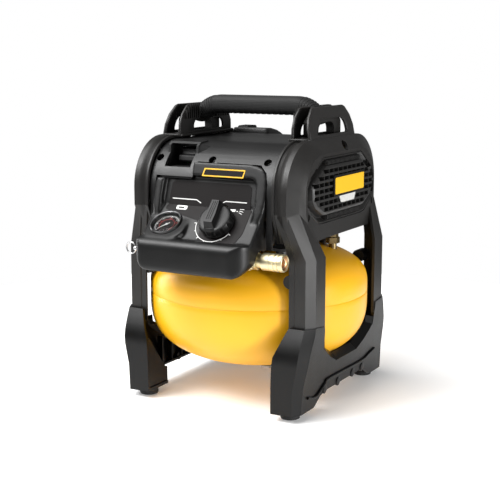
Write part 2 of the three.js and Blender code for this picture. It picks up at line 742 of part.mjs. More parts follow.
function checkValve() {
  const at = [CHECK_VALVE.x, CHECK_VALVE.y, 0];
  const hex = turned([[0, 206], [10, 206], [10, 214], [8, 215], [8, 221], [6, 223], [0, 223]], at, [0, 0, 1], 6);
  const spigot = rod(at, [0, 0, 1], 5.6, 193, 207, 16);
  return join(hex, spigot);
}

function dischargeTube() {
  const path = [
    [-10, -3.6, 339], [-8, 30, 339], [2, 84, 328], [12, 100, 300], [16, 100, 244], [34, 96, 226],
    [62, 80, 219.5], [80, 60, 218.4], [87, 52.4, 218.4],
  ];
  return bent(path, 3.6, 30, 8);
}

// ---------- pump and motor ----------

function pumpPlate() {
  const plate = roundBox('z', -40, 81, -76, 76, 210.4, 214, 8);
  const feet = [[-30, -66], [71, -66], [-30, 62], [71, 66]].map(([x, y]) => rod([x, y, 0], [0, 0, 1], 8, 190, 212, 16));
  return cut(join(plate, ...feet), tankSolid(GAP));
}

function crankcase() {
  const shell = box(-37, 21, -72, 2, 214 + GAP, 296);
  const room = box(-33, 30, -68, -2, 218, 291);
  const bore = rod([CRANK.x, CRANK.y, 0], [0, 0, 1], BORE, 280, 300, 32);
  return cut(shell, room, bore);
}

function cylinderBarrel() {
  const profile = [[BORE, 296 + GAP], [25.5, 296 + GAP]];
  for (let i = 0; i < 4; i += 1) {
    const z = 300 + i * 7;
    profile.push([25.5, z], [30, z + 0.6], [30, z + 2.4], [25.5, z + 3]);
  }
  profile.push([25.5, 331], [BORE, 331], [BORE, 296 + GAP]);
  return turned(profile, [CRANK.x, CRANK.y, 0], [0, 0, 1], 24);
}

function cylinderHead() {
  const block = roundBox('z', -40, 20, -66, -4, 331 + GAP, 347, 8);
  const fins = [];
  for (let i = 0; i < 5; i += 1) {
    fins.push(box(-42, 22, -62 + i * 12, -57 + i * 12, 338, 350));
  }
  return cut(block, ...fins);
}

function piston() {
  const at = [CRANK.x, CRANK.y, 0];
  const profile = [[0, 317], [22, 317], [22, 290], [19, 290], [19, 313.5], [0, 313.5]];
  return turned(profile, at, [0, 0, 1], 28);
}

function connectingRod() {
  const low = CRANK.z - CRANK.throw;
  const big = pipe([CRANK.x, CRANK.y, low], [1, 0, 0], 6 + GAP, 11, -4, 4, 20);
  const small = rod([CRANK.x, CRANK.y, CRANK.small], [1, 0, 0], 6, -4, 4, 16);
  const pin = rod([CRANK.x, CRANK.y, CRANK.small], [1, 0, 0], 3, -9, 9, 12);
  const beam = box(CRANK.x - 2.5, CRANK.x + 2.5, CRANK.y - 3.5, CRANK.y + 3.5, low + 8, CRANK.small);
  return join(big, small, pin, beam);
}

function toothed(teeth, root, tip) {
  const points = [];
  for (let i = 0; i < teeth; i += 1) {
    [[-0.3, root], [-0.14, tip], [0.14, tip], [0.3, root]].forEach(([part, radius]) => {
      const angle = ((i + part) / teeth) * 2 * Math.PI;
      points.push([radius * Math.cos(angle), radius * Math.sin(angle)]);
    });
  }
  return points;
}

function driveGear() {
  const wheel = prism('x', toothed(32, 45.2, 47.6), 22.5, 31).translate([0, CRANK.y, CRANK.z]);
  const shaft = rod([0, CRANK.y, CRANK.z], [1, 0, 0], 6, 30, 44, 16);
  const pin = rod([0, CRANK.y, CRANK.z - CRANK.throw], [1, 0, 0], 6, -14.5, 23, 16);
  return join(wheel, shaft, pin);
}

function motorBracket() {
  const outline = rounded([[-62, 214 + GAP], [70, 214 + GAP], [70, 322], [50, 334], [-10, 334], [-62, 292]], 6);
  const plate = prism('x', outline, 38, 42);
  const crank = rod([0, CRANK.y, CRANK.z], [1, 0, 0], 6 + GAP, 30, 50, 16);
  const shaft = rod([0, MOTOR.y, MOTOR.z], [1, 0, 0], 6, 30, 50, 16);
  return cut(plate, crank, shaft);
}

function motorStator() {
  return pipe([0, MOTOR.y, MOTOR.z], [1, 0, 0], 26, 43, 42 + GAP, 88, 36);
}

function motorRotor() {
  const axis = [0, MOTOR.y, MOTOR.z];
  const core = rod(axis, [1, 0, 0], 24.6, 46, 86, 28);
  const shaft = rod(axis, [1, 0, 0], 4, 22, 116, 14);
  const turn = Math.atan2(CRANK.z - MOTOR.z, CRANK.y - MOTOR.y);
  const spin = new THREE.Vector2();
  const teeth = toothed(8, 9.4, 11.9).map(([a, b]) => {
    spin.set(a, b).rotateAround(new THREE.Vector2(), turn + Math.PI / 8);
    return [spin.x, spin.y];
  });
  const pinion = prism('x', teeth, 24, 32).translate([0, MOTOR.y, MOTOR.z]);
  return join(core, shaft, pinion);
}

function coolingFan() {
  const axis = [0, MOTOR.y, MOTOR.z];
  const hub = pipe(axis, [1, 0, 0], 4 + GAP, 12, 100, 112, 20);
  const plate = pipe(axis, [1, 0, 0], 4 + GAP, 46, 100, 101.6, 32);
  const blades = [];
  for (let i = 0; i < 9; i += 1) {
    blades.push(box(101, 112, -0.9, 0.9, 11, 46).rotate([i * 40, 0, 0]).translate([0, MOTOR.y, MOTOR.z]));
  }
  return join(hub, plate, ...blades);
}

// ---------- battery and electrics ----------

function batteryPack() {
  const b = BATTERY;
  const plan = rounded([[b.x0, b.y0], [b.x1, b.y0], [b.x1, b.y1], [b.x0, b.y1]], 6);
  const body = prism('z', plan, b.z0, b.z1);
  const mid = [(b.x0 + b.x1) / 2, (b.y0 + b.y1) / 2];
  const cap = plan.map(([x, y]) => [mid[0] + (x - mid[0]) * 0.9, mid[1] + (y - mid[1]) * 0.9]);
  const crown = loft([plan.map((p) => [...p, b.z1 - 8]), cap.map((p) => [...p, b.z1])]);
  const top = box(b.x0 - 1, b.x1 + 1, b.y0 - 1, b.y1 + 1, b.z1 - 8, b.z1 + 1);
  const seat = box(b.x0 - 1, b.x0 + 22, b.y0 + 10, b.y1 - 10, b.z1 - 17, b.z1 + 1);
  return cut(join(cut(body, top), crown), seat);
}

function batteryLatch() {
  const b = BATTERY;
  const outline = [[b.y0 + 11, b.z1 - 11], [b.y1 - 11, b.z1 - 11], [b.y1 - 14, b.z1 + 2], [b.y0 + 14, b.z1 + 2]];
  return prism('x', rounded(outline, 4), b.x0 + 5, b.x0 + 21.4);
}

function batteryDock() {
  const b = BATTERY;
  const inside = prism('x', shroudOutline(HOUSING_WALL + 0.5), -91, 0);
  const cup = box(b.x0 - 3, b.x1 + 3, b.y0 - 3, b.y1 + 3, 222.2, 345).intersect(mirrorY(inside));
  const room = box(b.x0 - 0.6, b.x1 + 0.6, b.y0 - 0.6, b.y1 + 0.6, b.z0 - GAP, 400);
  return cut(cup, room);
}

function pressureSwitch() {
  const body = roundBox('z', -82, -43, -80, -50, 262, 312, 4);
  return join(body, rod([-62, -65, 0], [0, 0, 1], 7, 246, 263, 16));
}

function controlBoard() {
  const board = box(-86, -84, -50, 50, 236, 330);
  const parts = [[-40, 250, 18], [-8, 262, 26], [22, 250, 14]];
  const blocks = parts.map(([y, z, size]) => box(-84.5, -72, y - size / 2, y + size / 2, z, z + size));
  return join(board, ...blocks);
}

// ---------- assembly ----------

const part = new THREE.Group();
const CENTRE_Y = -(FRONT_Y + REAR_Y) / 2;

function add(name, body, colour) {
  const geometry = geometryOf(body.translate([0, CENTRE_Y, 0]));
  const material = new THREE.MeshStandardMaterial({ color: colour, roughness: 0.6 });
  material.name = name;
  const mesh = new THREE.Mesh(geometry, material);
  mesh.name = name;
  part.add(mesh);
}

const BLACK = 0x2c2c2c;
const DARK = 0x222222;
const GREY = 0x5a5a5a;
const YELLOW = 0xf0b41e;
const BRASS = 0xc8b070;
const STEEL = 0xb0b0b4;

add('side_frame_right', sideFrame(), BLACK);
add('side_frame_left', mirrorX(sideFrame()), BLACK);
add('foot_rail_right', footRail(), DARK);
add('foot_rail_left', mirrorX(footRail()), DARK);
add('foot_pad_front_right', footPad(), DARK);
add('foot_pad_front_left', mirrorX(footPad()), DARK);
add('foot_pad_rear_right', mirrorY(footPad()), DARK);
add('foot_pad_rear_left', mirrorX(mirrorY(footPad())), DARK);
add('tank_mount_front_right', tankMount(), DARK);
add('tank_mount_front_left', mirrorX(tankMount()), DARK);
add('tank_mount_rear_right', mirrorY(tankMount()), DARK);
add('tank_mount_rear_left', mirrorX(mirrorY(tankMount())), DARK);
add('handle_core', handleCore(), BLACK);
add('handle_grip', handleGrip(), DARK);
add('shroud_front', shroudFront(), BLACK);
add('shroud_rear', shroudRear(), BLACK);
add('side_grille_right', sideGrille(), BLACK);
add('side_grille_left', mirrorX(sideGrille()), BLACK);
add('badge_right', badge(), YELLOW);
add('badge_left', mirrorX(badge()), YELLOW);
add('tank_lower', tankLower(), YELLOW);
add('tank_upper', tankUpper(), YELLOW);
add('console_shell', consoleShell(), BLACK);
add('label_panel', labelPanel(), DARK);
add('gauge_case', gaugeCase(), STEEL);
add('gauge_dial', gaugeDial(), DARK);
add('gauge_needle', gaugeNeedle(), STEEL);
add('gauge_lens', gaugeLens(), 0xddeeee);
add('regulator_bonnet', regulatorBonnet(), BRASS);
add('regulator_knob', regulatorKnob(), DARK);
add('rocker_switch', rockerSwitch(), GREY);
add('manifold', manifold(), STEEL);
add('safety_valve', safetyValve(), BRASS);
add('safety_valve_stem', safetyValveStem(), STEEL);
add('safety_valve_ring', safetyValveRing(), STEEL);
add('coupler_body', couplerBody(), BRASS);
add('coupler_sleeve', couplerSleeve(), BRASS);
add('supply_tube', supplyTube(), STEEL);
add('drain_valve', drainValve(), BRASS);
add('drain_lever', drainLever(), STEEL);
add('check_valve', checkValve(), BRASS);
add('discharge_tube', dischargeTube(), STEEL);
add('pump_plate', pumpPlate(), STEEL);
add('crankcase', crankcase(), STEEL);
add('cylinder_barrel', cylinderBarrel(), STEEL);
add('cylinder_head', cylinderHead(), STEEL);
add('piston', piston(), STEEL);
add('connecting_rod', connectingRod(), STEEL);
add('drive_gear', driveGear(), GREY);
add('motor_bracket', motorBracket(), STEEL);
add('motor_stator', motorStator(), GREY);
add('motor_rotor', motorRotor(), STEEL);
add('cooling_fan', coolingFan(), DARK);
add('battery_pack', batteryPack(), BLACK);
add('battery_latch', batteryLatch(), DARK);
add('battery_dock', batteryDock(), GREY);
add('pressure_switch', pressureSwitch(), DARK);
add('control_board', controlBoard(), 0x1f5a34);

export default part;
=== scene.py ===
"""Pancake air compressor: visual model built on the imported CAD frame.

Shapes are written in millimetres round the tank's axis and put in the row frame
(metres, origin in the middle of the footprint) as each mesh is made.
"""
from contextlib import contextmanager
from math import copysign, cos, pi, sin

import bpy
import bmesh
from mathutils import Matrix, Vector


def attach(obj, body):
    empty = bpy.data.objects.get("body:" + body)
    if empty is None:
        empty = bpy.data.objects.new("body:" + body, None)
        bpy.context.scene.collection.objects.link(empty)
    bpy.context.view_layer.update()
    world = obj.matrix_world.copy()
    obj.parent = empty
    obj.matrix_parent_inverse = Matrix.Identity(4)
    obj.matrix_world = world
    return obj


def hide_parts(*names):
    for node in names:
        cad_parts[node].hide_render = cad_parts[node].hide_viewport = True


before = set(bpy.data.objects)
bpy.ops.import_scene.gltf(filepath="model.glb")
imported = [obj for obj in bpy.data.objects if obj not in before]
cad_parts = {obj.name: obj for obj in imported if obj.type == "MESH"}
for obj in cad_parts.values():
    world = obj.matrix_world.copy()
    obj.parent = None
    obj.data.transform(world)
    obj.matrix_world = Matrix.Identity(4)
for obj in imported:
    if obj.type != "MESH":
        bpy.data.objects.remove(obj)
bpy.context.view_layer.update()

MM = 0.001
DEG = pi / 180
CENTRE_Y = 17.25  # the tank's axis, behind the middle of the footprint
TANK_R = 153.0
TANK_WALL = 2.6
SEAM_Z = 141.8
FRAME_TOP = 358.0
FRAME_BOTTOM = 229.5
RIM_Y = 138.0
LIP_X = 93.0
GRILLE_Z = 293  # middle of the octagon in each side frame
SHROUD_X = 92
SKIN = 3  # wall of the shroud and the console
KNOB = Vector((22.4, -148.0, 253.0))
GAUGE = Vector((-53.0, -155.0, 250.5))
KNOB_TILT = 47.0
GAUGE_TILT = 33.0
AIR_LINE = (0, -140.0, 209.0)


def tilt(degrees):
    """Normal of a panel that leans forward by this angle."""
    return Vector((0, -sin(degrees * DEG), cos(degrees * DEG)))


def slope(degrees):
    """Direction up the same panel."""
    return Vector((0, cos(degrees * DEG), sin(degrees * DEG)))


KNOB_AXIS = tilt(KNOB_TILT)
GAUGE_AXIS = tilt(GAUGE_TILT)


# ---- meshes

def from_lists(verts, faces):
    bm = bmesh.new()
    points = [bm.verts.new(v) for v in verts]
    for face in faces:
        try:
            bm.faces.new([points[i] for i in face])
        except ValueError:
            pass
    bmesh.ops.recalc_face_normals(bm, faces=bm.faces)
    return bm


def loft(rings, closed=False):
    """Skin through rings with the same number of points, capped at both ends."""
    size = len(rings[0])
    count = len(rings)
    verts = [p for ring in rings for p in ring]
    faces = []
    for r in range(count if closed else count - 1):
        a = r * size
        b = ((r + 1) % count) * size
        for i in range(size):
            j = (i + 1) % size
            faces.append((a + i, a + j, b + j, b + i))
    if not closed:
        faces.append(tuple(range(size)))
        faces.append(tuple(range((count - 1) * size, count * size)))
    return from_lists(verts, faces)


def prism(axis, outline, low, high):
    """Straight prism: outline is (y,z) along x, (x,z) along y, (x,y) along z."""
    place = {
        "x": lambda a, b, h: (h, a, b),
        "y": lambda a, b, h: (a, h, b),
        "z": lambda a, b, h: (a, b, h),
    }[axis]
    return loft([[place(a, b, h) for a, b in outline] for h in (low, high)])


def rect(x0, x1, y0, y1):
    return [(x0, y0), (x1, y0), (x1, y1), (x0, y1)]


def box(x0, x1, y0, y1, z0, z1):
    return prism("z", rect(x0, x1, y0, y1), z0, z1)


def aim(direction):
    turn = Vector((0, 0, 1)).rotation_difference(Vector(direction).normalized())
    return turn.to_matrix().to_4x4()


def revolve(profile, origin, direction=(0, 0, 1), segments=48):
    """Turned body from (radius, height) pairs; a profile off the axis is closed on itself."""
    turn = Matrix.Translation(Vector(origin)) @ aim(direction)
    verts = []
    rows = []
    for r, h in profile:
        if r < 1e-6:
            rows.append([len(verts)])
            verts.append(turn @ Vector((0, 0, h)))
            continue
        rows.append(list(range(len(verts), len(verts) + segments)))
        for k in range(segments):
            a = 2 * pi * k / segments
            verts.append(turn @ Vector((r * cos(a), r * sin(a), h)))
    faces = []
    ring = profile[0][0] > 1e-6
    pairs = list(zip(rows, rows[1:] + ([rows[0]] if ring else [])))
    for low, high in pairs[: len(rows) if ring else len(rows) - 1]:
        for k in range(segments):
            n = (k + 1) % segments
            a, b = low[k % len(low)], low[n % len(low)]
            c, d = high[n % len(high)], high[k % len(high)]
            face = []
            for i in (a, b, c, d):
                if i not in face:
                    face.append(i)
            if len(face) > 2:
                faces.append(tuple(face))
    return from_lists(verts, faces)


def rod(origin, direction, radius, low, high, segments=32):
    return revolve(rect(0, radius, low, high), origin, direction, segments)


def smooth_path(points, steps):
    """Catmull-Rom curve through the points."""
    pts = [Vector(p) for p in points]
    pts = [pts[0] * 2 - pts[1]] + pts + [pts[-1] * 2 - pts[-2]]
    out = []
    for i in range(1, len(pts) - 2):
        a, b, c, d = pts[i - 1:i + 3]
        for k in range(steps):
            t = k / steps
            out.append(0.5 * ((2 * b) + (c - a) * t + (2 * a - 5 * b + 4 * c - d) * t * t
                              + (3 * b - a - 3 * c + d) * t ** 3))
    out.append(pts[-2])
    return out


def tube(points, radius, around=16, steps=6, closed=False):
    path = smooth_path(points, steps) if steps else [Vector(p) for p in points]
    rings = []
    side = None
    for i, p in enumerate(path):
        if closed:
            ahead = path[(i + 1) % len(path)] - path[i - 1]
        else:
            ahead = path[min(i + 1, len(path) - 1)] - path[max(i - 1, 0)]
        ahead.normalize()
        if side is None:
            side = ahead.orthogonal().normalized()
        side = (side - ahead * side.dot(ahead)).normalized()
        up = ahead.cross(side)
        rings.append([p + side * radius * cos(2 * pi * k / around)
                      + up * radius * sin(2 * pi * k / around) for k in range(around)])
    return loft(rings, closed)


def rounded(points, radius, steps=5):
    """Outline with its corners rounded."""
    out = []
    count = len(points)
    for i in range(count):
        here = Vector(points[i])
        before = Vector(points[i - 1]) - here
        after = Vector(points[(i + 1) % count]) - here
        reach = min(radius, before.length * 0.48, after.length * 0.48)
        a = here + before.normalized() * reach
        b = here + after.normalized() * reach
        for k in range(steps + 1):
            t = k / steps
            p = a * (1 - t) ** 2 + here * 2 * t * (1 - t) + b * t * t
            out.append((p.x, p.y))
    return out


def absorb(bm, part):
    """Adds part to bm and frees it."""
    mesh = bpy.data.meshes.new("part")
    part.to_mesh(mesh)
    part.free()
    bm.from_mesh(mesh)
    bpy.data.meshes.remove(mesh)


def merged(*parts):
    bm = bmesh.new()
    for part in parts:
        absorb(bm, part)
    return bm


def mirror(bm, axis):
    copy = bm.copy()
    for v in copy.verts:
        v.co[axis] = -v.co[axis]
    bmesh.ops.reverse_faces(copy, faces=copy.faces)
    return copy


def to_metres(bm):
    for v in bm.verts:
        v.co = Vector((v.co.x, v.co.y + CENTRE_Y, v.co.z)) * MM


def new_object(name, data):
    obj = bpy.data.objects.new(name, data)
    bpy.context.scene.collection.objects.link(obj)
    return obj


def raw_object(name, bm):
    mesh = bpy.data.meshes.new(name)
    to_metres(bm)
    bm.to_mesh(mesh)
    bm.free()
    return new_object(name, mesh)


def discard(obj):
    mesh = obj.data
    bpy.data.objects.remove(obj)
    bpy.data.meshes.remove(mesh)


@contextmanager
def editing(obj):
    """An object's mesh as a bmesh in metres, written back at the end."""
    bm = bmesh.new()
    bm.from_mesh(obj.data)
    yield bm
    bm.to_mesh(obj.data)
    bm.free()


def modifier(obj, kind, **settings):
    mod = obj.modifiers.new(kind.lower(), kind)
    for key, value in settings.items():
        setattr(mod, key, value)


def evaluated_mesh(obj):
    bpy.context.view_layer.update()
    graph = bpy.context.evaluated_depsgraph_get()
    return bpy.data.meshes.new_from_object(obj.evaluated_get(graph))


def apply_modifiers(obj):
    mesh = evaluated_mesh(obj)
    obj.modifiers.clear()
    old = obj.data
    obj.data = mesh
    mesh.name = obj.name
    bpy.data.meshes.remove(old)


def boolean(obj, tools, operation="DIFFERENCE"):
    """tools are bmeshes in millimetres."""
    cutters = [raw_object("tool", bm) for bm in tools]
    for cutter in cutters:
        modifier(obj, "BOOLEAN", operation=operation, solver="EXACT", object=cutter)
    apply_modifiers(obj)
    for cutter in cutters:
        discard(cutter)


def as_tool(obj):
    """Turns an object back into a bmesh in millimetres and removes it."""
    bm = bmesh.new()
    bm.from_mesh(obj.data)
    for v in bm.verts:
        v.co = Vector((v.co.x * 1000, v.co.y * 1000 - CENTRE_Y, v.co.z * 1000))
    discard(obj)
    return bm


def soften(obj, width, segments=2, angle=32):
    """Cleans the mesh up and bevels its edges; width is in millimetres."""
    with editing(obj) as bm:
        bmesh.ops.remove_doubles(bm, verts=bm.verts, dist=2e-5)
        bmesh.ops.dissolve_limit(bm, angle_limit=1.2 * DEG, verts=bm.verts, edges=bm.edges)
    modifier(obj, "BEVEL", width=width * MM, segments=segments, limit_method="ANGLE",
             angle_limit=angle * DEG, miter_outer="MITER_ARC", use_clamp_overlap=True)
    apply_modifiers(obj)


def melt(obj, voxel, rounds, keep):
    """Rounds a closed solid all over: a fine remesh, relaxed, then thinned out."""
    modifier(obj, "REMESH", mode="VOXEL", voxel_size=voxel * MM)
    modifier(obj, "SMOOTH", factor=0.5, iterations=rounds)
    modifier(obj, "DECIMATE", ratio=keep)
    apply_modifiers(obj)


def join_into(obj, *bms):
    """Adds loose shells to an object's mesh."""
    with editing(obj) as bm:
        for extra in bms:
            to_metres(extra)
            absorb(bm, extra)


def mirrored_object(obj, name):
    twin = new_object(name, obj.data.copy())
    with editing(twin) as bm:
        for v in bm.verts:
            v.co.x = -v.co.x
        bmesh.ops.reverse_faces(bm, faces=bm.faces)
    return twin


def settle(obj, look, replaces=(), angle=35, weighted=True, body="chassis"):
    """Gives a piece its material and smoothing, and attaches it to its body."""
    obj.data.materials.clear()
    obj.data.materials.append(M[look])
    for poly in obj.data.polygons:
        poly.use_smooth = True
    obj.data.set_sharp_from_angle(angle=angle * DEG)
    if weighted:
        modifier(obj, "WEIGHTED_NORMAL", keep_sharp=True, weight=60)
    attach(obj, body)
    if replaces:
        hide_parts(replaces)


def put(name, bm, look, replaces=(), angle=30, body="chassis"):
    """Settles a turned, flat or small piece straight from its bmesh."""
    settle(raw_object(name, bm), look, replaces, angle, False, body)


def settle_pair(right, base, look):
    """The right-hand piece and its mirror image."""
    right.name = base + "_right_body"
    left = mirrored_object(right, base + "_left_body")
    settle(right, look, base + "_right")
    settle(left, look, base + "_left")


# ---- materials

class Look:
    """A material with one Principled shader and the textures that drive it."""

    def __init__(self, name, **values):
        self.material = bpy.data.materials.new(name)
        self.material.use_nodes = True
        self.nodes = self.material.node_tree.nodes
        self.shader = self.nodes["Principled BSDF"]
        self.place = self.nodes.new("ShaderNodeTexCoord").outputs["Object"]
        self.fill(self.shader, {}, values)

    def fill(self, node, joined, values):
        for key, value in values.items():
            node.inputs[key.replace("_", " ")].default_value = value
        for key, source in joined.items():
            self.material.node_tree.links.new(source, node.inputs[key])

    def add(self, kind, result, joined, **values):
        node = self.nodes.new("ShaderNode" + kind)
        self.fill(node, joined, values)
        return node.outputs[result]

    def noise(self, scale, detail, rough, stretch=None):
        place = self.place
        if stretch:
            place = self.add("Mapping", "Vector", {"Vector": place}, Scale=stretch)
        return self.add("TexNoise", "Fac", {"Vector": place},
                        Scale=scale, Detail=detail, Roughness=rough)

    def colour(self, source, low, high, start=0.3, stop=0.75):
        node = self.nodes.new("ShaderNodeValToRGB")
        for end, where, tone in zip(node.color_ramp.elements, (start, stop), (low, high)):
            end.position = where
            end.color = tone
        self.fill(node, {"Fac": source}, {})
        self.fill(self.shader, {"Base Color": node.outputs["Color"]}, {})

    def roughness(self, source, low, high):
        value = self.add("MapRange", "Result", {"Value": source}, To_Min=low, To_Max=high)
        self.fill(self.shader, {"Roughness": value}, {})

    def bump(self, source, strength, distance, before=None):
        joined = {"Height": source}
        if before:
            joined["Normal"] = before
        normal = self.add("Bump", "Normal", joined, Strength=strength, Distance=distance)
        self.fill(self.shader, {"Normal": normal}, {})
        return normal


def grey(value, warm=0.0):
    return (value * (1 + warm), value, value * (1 - warm), 1)


def moulded(name, value, rough, warm=0.0, depth=0.12, dust=0.25, colour=None, gloss=0.5):
    """Moulded plastic: spark-eroded grain, faint flow marks, scuffs in the gloss."""
    look = Look(name, Specular_IOR_Level=gloss)
    low = colour or grey(value, warm)
    high = tuple(min(1, c * (1 + dust)) for c in low[:3]) + (1,)
    look.colour(look.noise(14, 4, 0.6), low, high)
    look.roughness(look.noise(55, 6, 0.65), rough - 0.07, rough + 0.09)
    look.bump(look.noise(1400, 2, 0.5), depth, 0.0004)
    return look.material


def painted(name, light, dark, rough):
    """Powder coat: slight orange peel, clear gloss over it."""
    look = Look(name, Coat_Weight=0.1, Coat_Roughness=0.25)
    look.colour(look.noise(9, 3, 0.5), dark, light, 0.25, 0.7)
    look.roughness(look.noise(70, 5, 0.6), rough - 0.04, rough + 0.08)
    look.bump(look.noise(260, 2, 0.45), 0.06, 0.0006)
    return look.material


def metal(name, low, high, rough, lines=None, depth=0.1):
    """Turned, drawn or cast metal; lines stretches the texture across the tool marks."""
    look = Look(name, Metallic=1.0)
    look.colour(look.noise(60, 5, 0.6), low, high, 0.3, 0.7)
    marks = look.noise(700, 3, 0.6, lines)
    look.roughness(marks, rough - 0.08, rough + 0.12)
    look.bump(marks, depth, 0.0002)
    return look.material


def rubber(name, value, dots=None):
    """Matt rubber; dots is the scale of a stippled pattern."""
    look = Look(name)
    broad = look.noise(30, 4, 0.6)
    look.colour(broad, grey(value), grey(value * 1.5))
    look.roughness(broad, 0.62, 0.8)
    fine = look.bump(look.noise(900, 2, 0.5), 0.2, 0.0003)
    if dots:
        far = look.add("TexVoronoi", "Distance", {"Vector": look.place}, Scale=dots,
                       Randomness=0.15)
        near = look.add("MapRange", "Result", {"Value": far}, To_Min=1.0, To_Max=0.0)
        look.bump(near, 0.5, 0.0008, fine)
    return look.material


def printed(name, colour, rough=0.5, gloss=0.5):
    """Ink or film, a little worn."""
    look = Look(name, Specular_IOR_Level=gloss)
    worn = look.noise(180, 4, 0.6)
    look.colour(worn, tuple(c * 0.88 for c in colour[:3]) + (1,), colour, 0.3, 0.6)
    look.roughness(worn, rough - 0.06, rough + 0.08)
    return look.material


def clear_lens(name):
    look = Look(name, Base_Color=(0.95, 0.97, 0.97, 1), Transmission_Weight=1.0, IOR=1.2)
    look.roughness(look.noise(90, 4, 0.6), 0.02, 0.09)
    return look.material


M = {
    "frame": moulded("frame plastic", 0.0125, 0.38, 0.06, gloss=0.36),
    "rail": moulded("rail plastic", 0.001, 0.32, 0.04, gloss=0.26),
    "shroud": moulded("shroud plastic", 0.0075, 0.38, 0.0, gloss=0.38),
    "console": moulded("console plastic", 0.005, 0.36, 0.0, gloss=0.32),
    "grille": moulded("grille plastic", 0.011, 0.42, 0.05),
    "knob": moulded("knob plastic", 0.0035, 0.34, gloss=0.28),
    "dark": moulded("deep black plastic", 0.002, 0.6, gloss=0.25),
    "switch": moulded("switch plastic", 0.028, 0.45),
    "battery": moulded("battery plastic", 0.012, 0.42),
    "tag": printed("tag film", (0.62, 0.62, 0.6, 1), 0.45),
    "screw": metal("screw steel", (0.03, 0.03, 0.03, 1), (0.07, 0.07, 0.07, 1), 0.4),
    "dock": moulded("well plastic", 0.006, 0.6),
    "label": printed("label film", (0.007, 0.0052, 0.0052, 1), 0.5, 0.15),
    "white": printed("white ink", (0.85, 0.85, 0.83, 1), 0.5),
    "red": printed("red ink", (0.45, 0.02, 0.015, 1), 0.5),
    "yellow": moulded("yellow plate", 0.5, 0.35, colour=(0.83, 0.47, 0.012, 1), dust=0.05,
                      depth=0.04),
    "tank": painted("tank paint", (0.90, 0.455, 0.006, 1), (0.84, 0.415, 0.006, 1), 0.4),
    "brass": metal("brass", (0.66, 0.57, 0.34, 1), (0.86, 0.78, 0.54, 1), 0.4, (1, 14, 14)),
    "old_brass": metal("dull brass", (0.20, 0.145, 0.07, 1), (0.34, 0.26, 0.13, 1), 0.42),
    "copper": metal("copper", (0.42, 0.2, 0.09, 1), (0.62, 0.33, 0.17, 1), 0.35),
    "steel": metal("steel", (0.42, 0.42, 0.43, 1), (0.68, 0.68, 0.68, 1), 0.28, (1, 1, 14)),
    "bezel": metal("bezel metal", (0.085, 0.085, 0.088, 1), (0.16, 0.16, 0.16, 1), 0.3),
    "cast": metal("cast aluminium", (0.35, 0.35, 0.36, 1), (0.52, 0.52, 0.53, 1), 0.5, depth=0.4),
    "sheet": moulded("black coated steel", 0.02, 0.4, depth=0.05),
    "iron": metal("laminations", (0.05, 0.05, 0.055, 1), (0.12, 0.12, 0.12, 1), 0.5, (40, 1, 1),
                  depth=0.5),
    "nylon": moulded("nylon", 0.55, 0.5, 0.06),
    "board": moulded("circuit board", 0.05, 0.4, colour=(0.01, 0.07, 0.03, 1)),
    "foot": rubber("foot rubber", 0.012),
    "grip": rubber("grip rubber", 0.0045, 480),
    "lens": clear_lens("clear lens"),
}


# ---- side frames

def arch(inside, intop, bottom, arc=14):
    side = RIM_Y - inside
    top = FRAME_TOP - intop
    radius = 66 - min(inside, intop)
    half = [(side - 17, bottom), (side, 268)]
    for i in range(arc + 1):
        a = i / arc * pi / 2
        half.append((side - radius + radius * cos(a), top - radius + radius * sin(a)))
    return half + [(-y, z) for y, z in reversed(half)]


def arch_loft(rows, bottom):
    """Skin through arches; a row is x, the inset of the sides and the inset of the top."""
    return loft([[(x, y, z) for y, z in arch(inside, intop, bottom)] for x, inside, intop in rows])


def leg_ring(z, x, y, xs, ys, back):
    """Section of a leg at height z: front face at y, chamfer to (xs, ys), outer side to back."""
    w = 4
    return [
        (x, -y + 1.2, z), (x + 8, -y + 1.2, z), (x + 9, -y, z), (xs - 8.4, -y, z), (xs, -ys, z),
        (xs, -back, z), (xs - w, -back, z), (xs - w, -ys + 1, z), (xs - 10, -y + w, z),
        (x, -y + w, z),
    ]


OCTAGON = [
    (-61, 335.8), (61, 335.8), (98, 311), (105.6, 300), (105.6, 280), (97, 266), (73, 251),
    (61, 249.6), (-61, 249.6), (-73, 251), (-97, 266), (-105.6, 280), (-105.6, 300), (-98, 311),
]
LOOP = [(-69, 356), (69, 356), (68.5, 372), (62, 386), (50, 397), (44, 398.8),
        (-44, 398.8), (-50, 397), (-62, 386), (-68.5, 372)]


def lean(bm):
    """The handle loops lean in towards the middle as they rise."""
    for v in bm.verts:
        v.co.x -= 0.195 * (v.co.z - FRAME_TOP)
    return bm


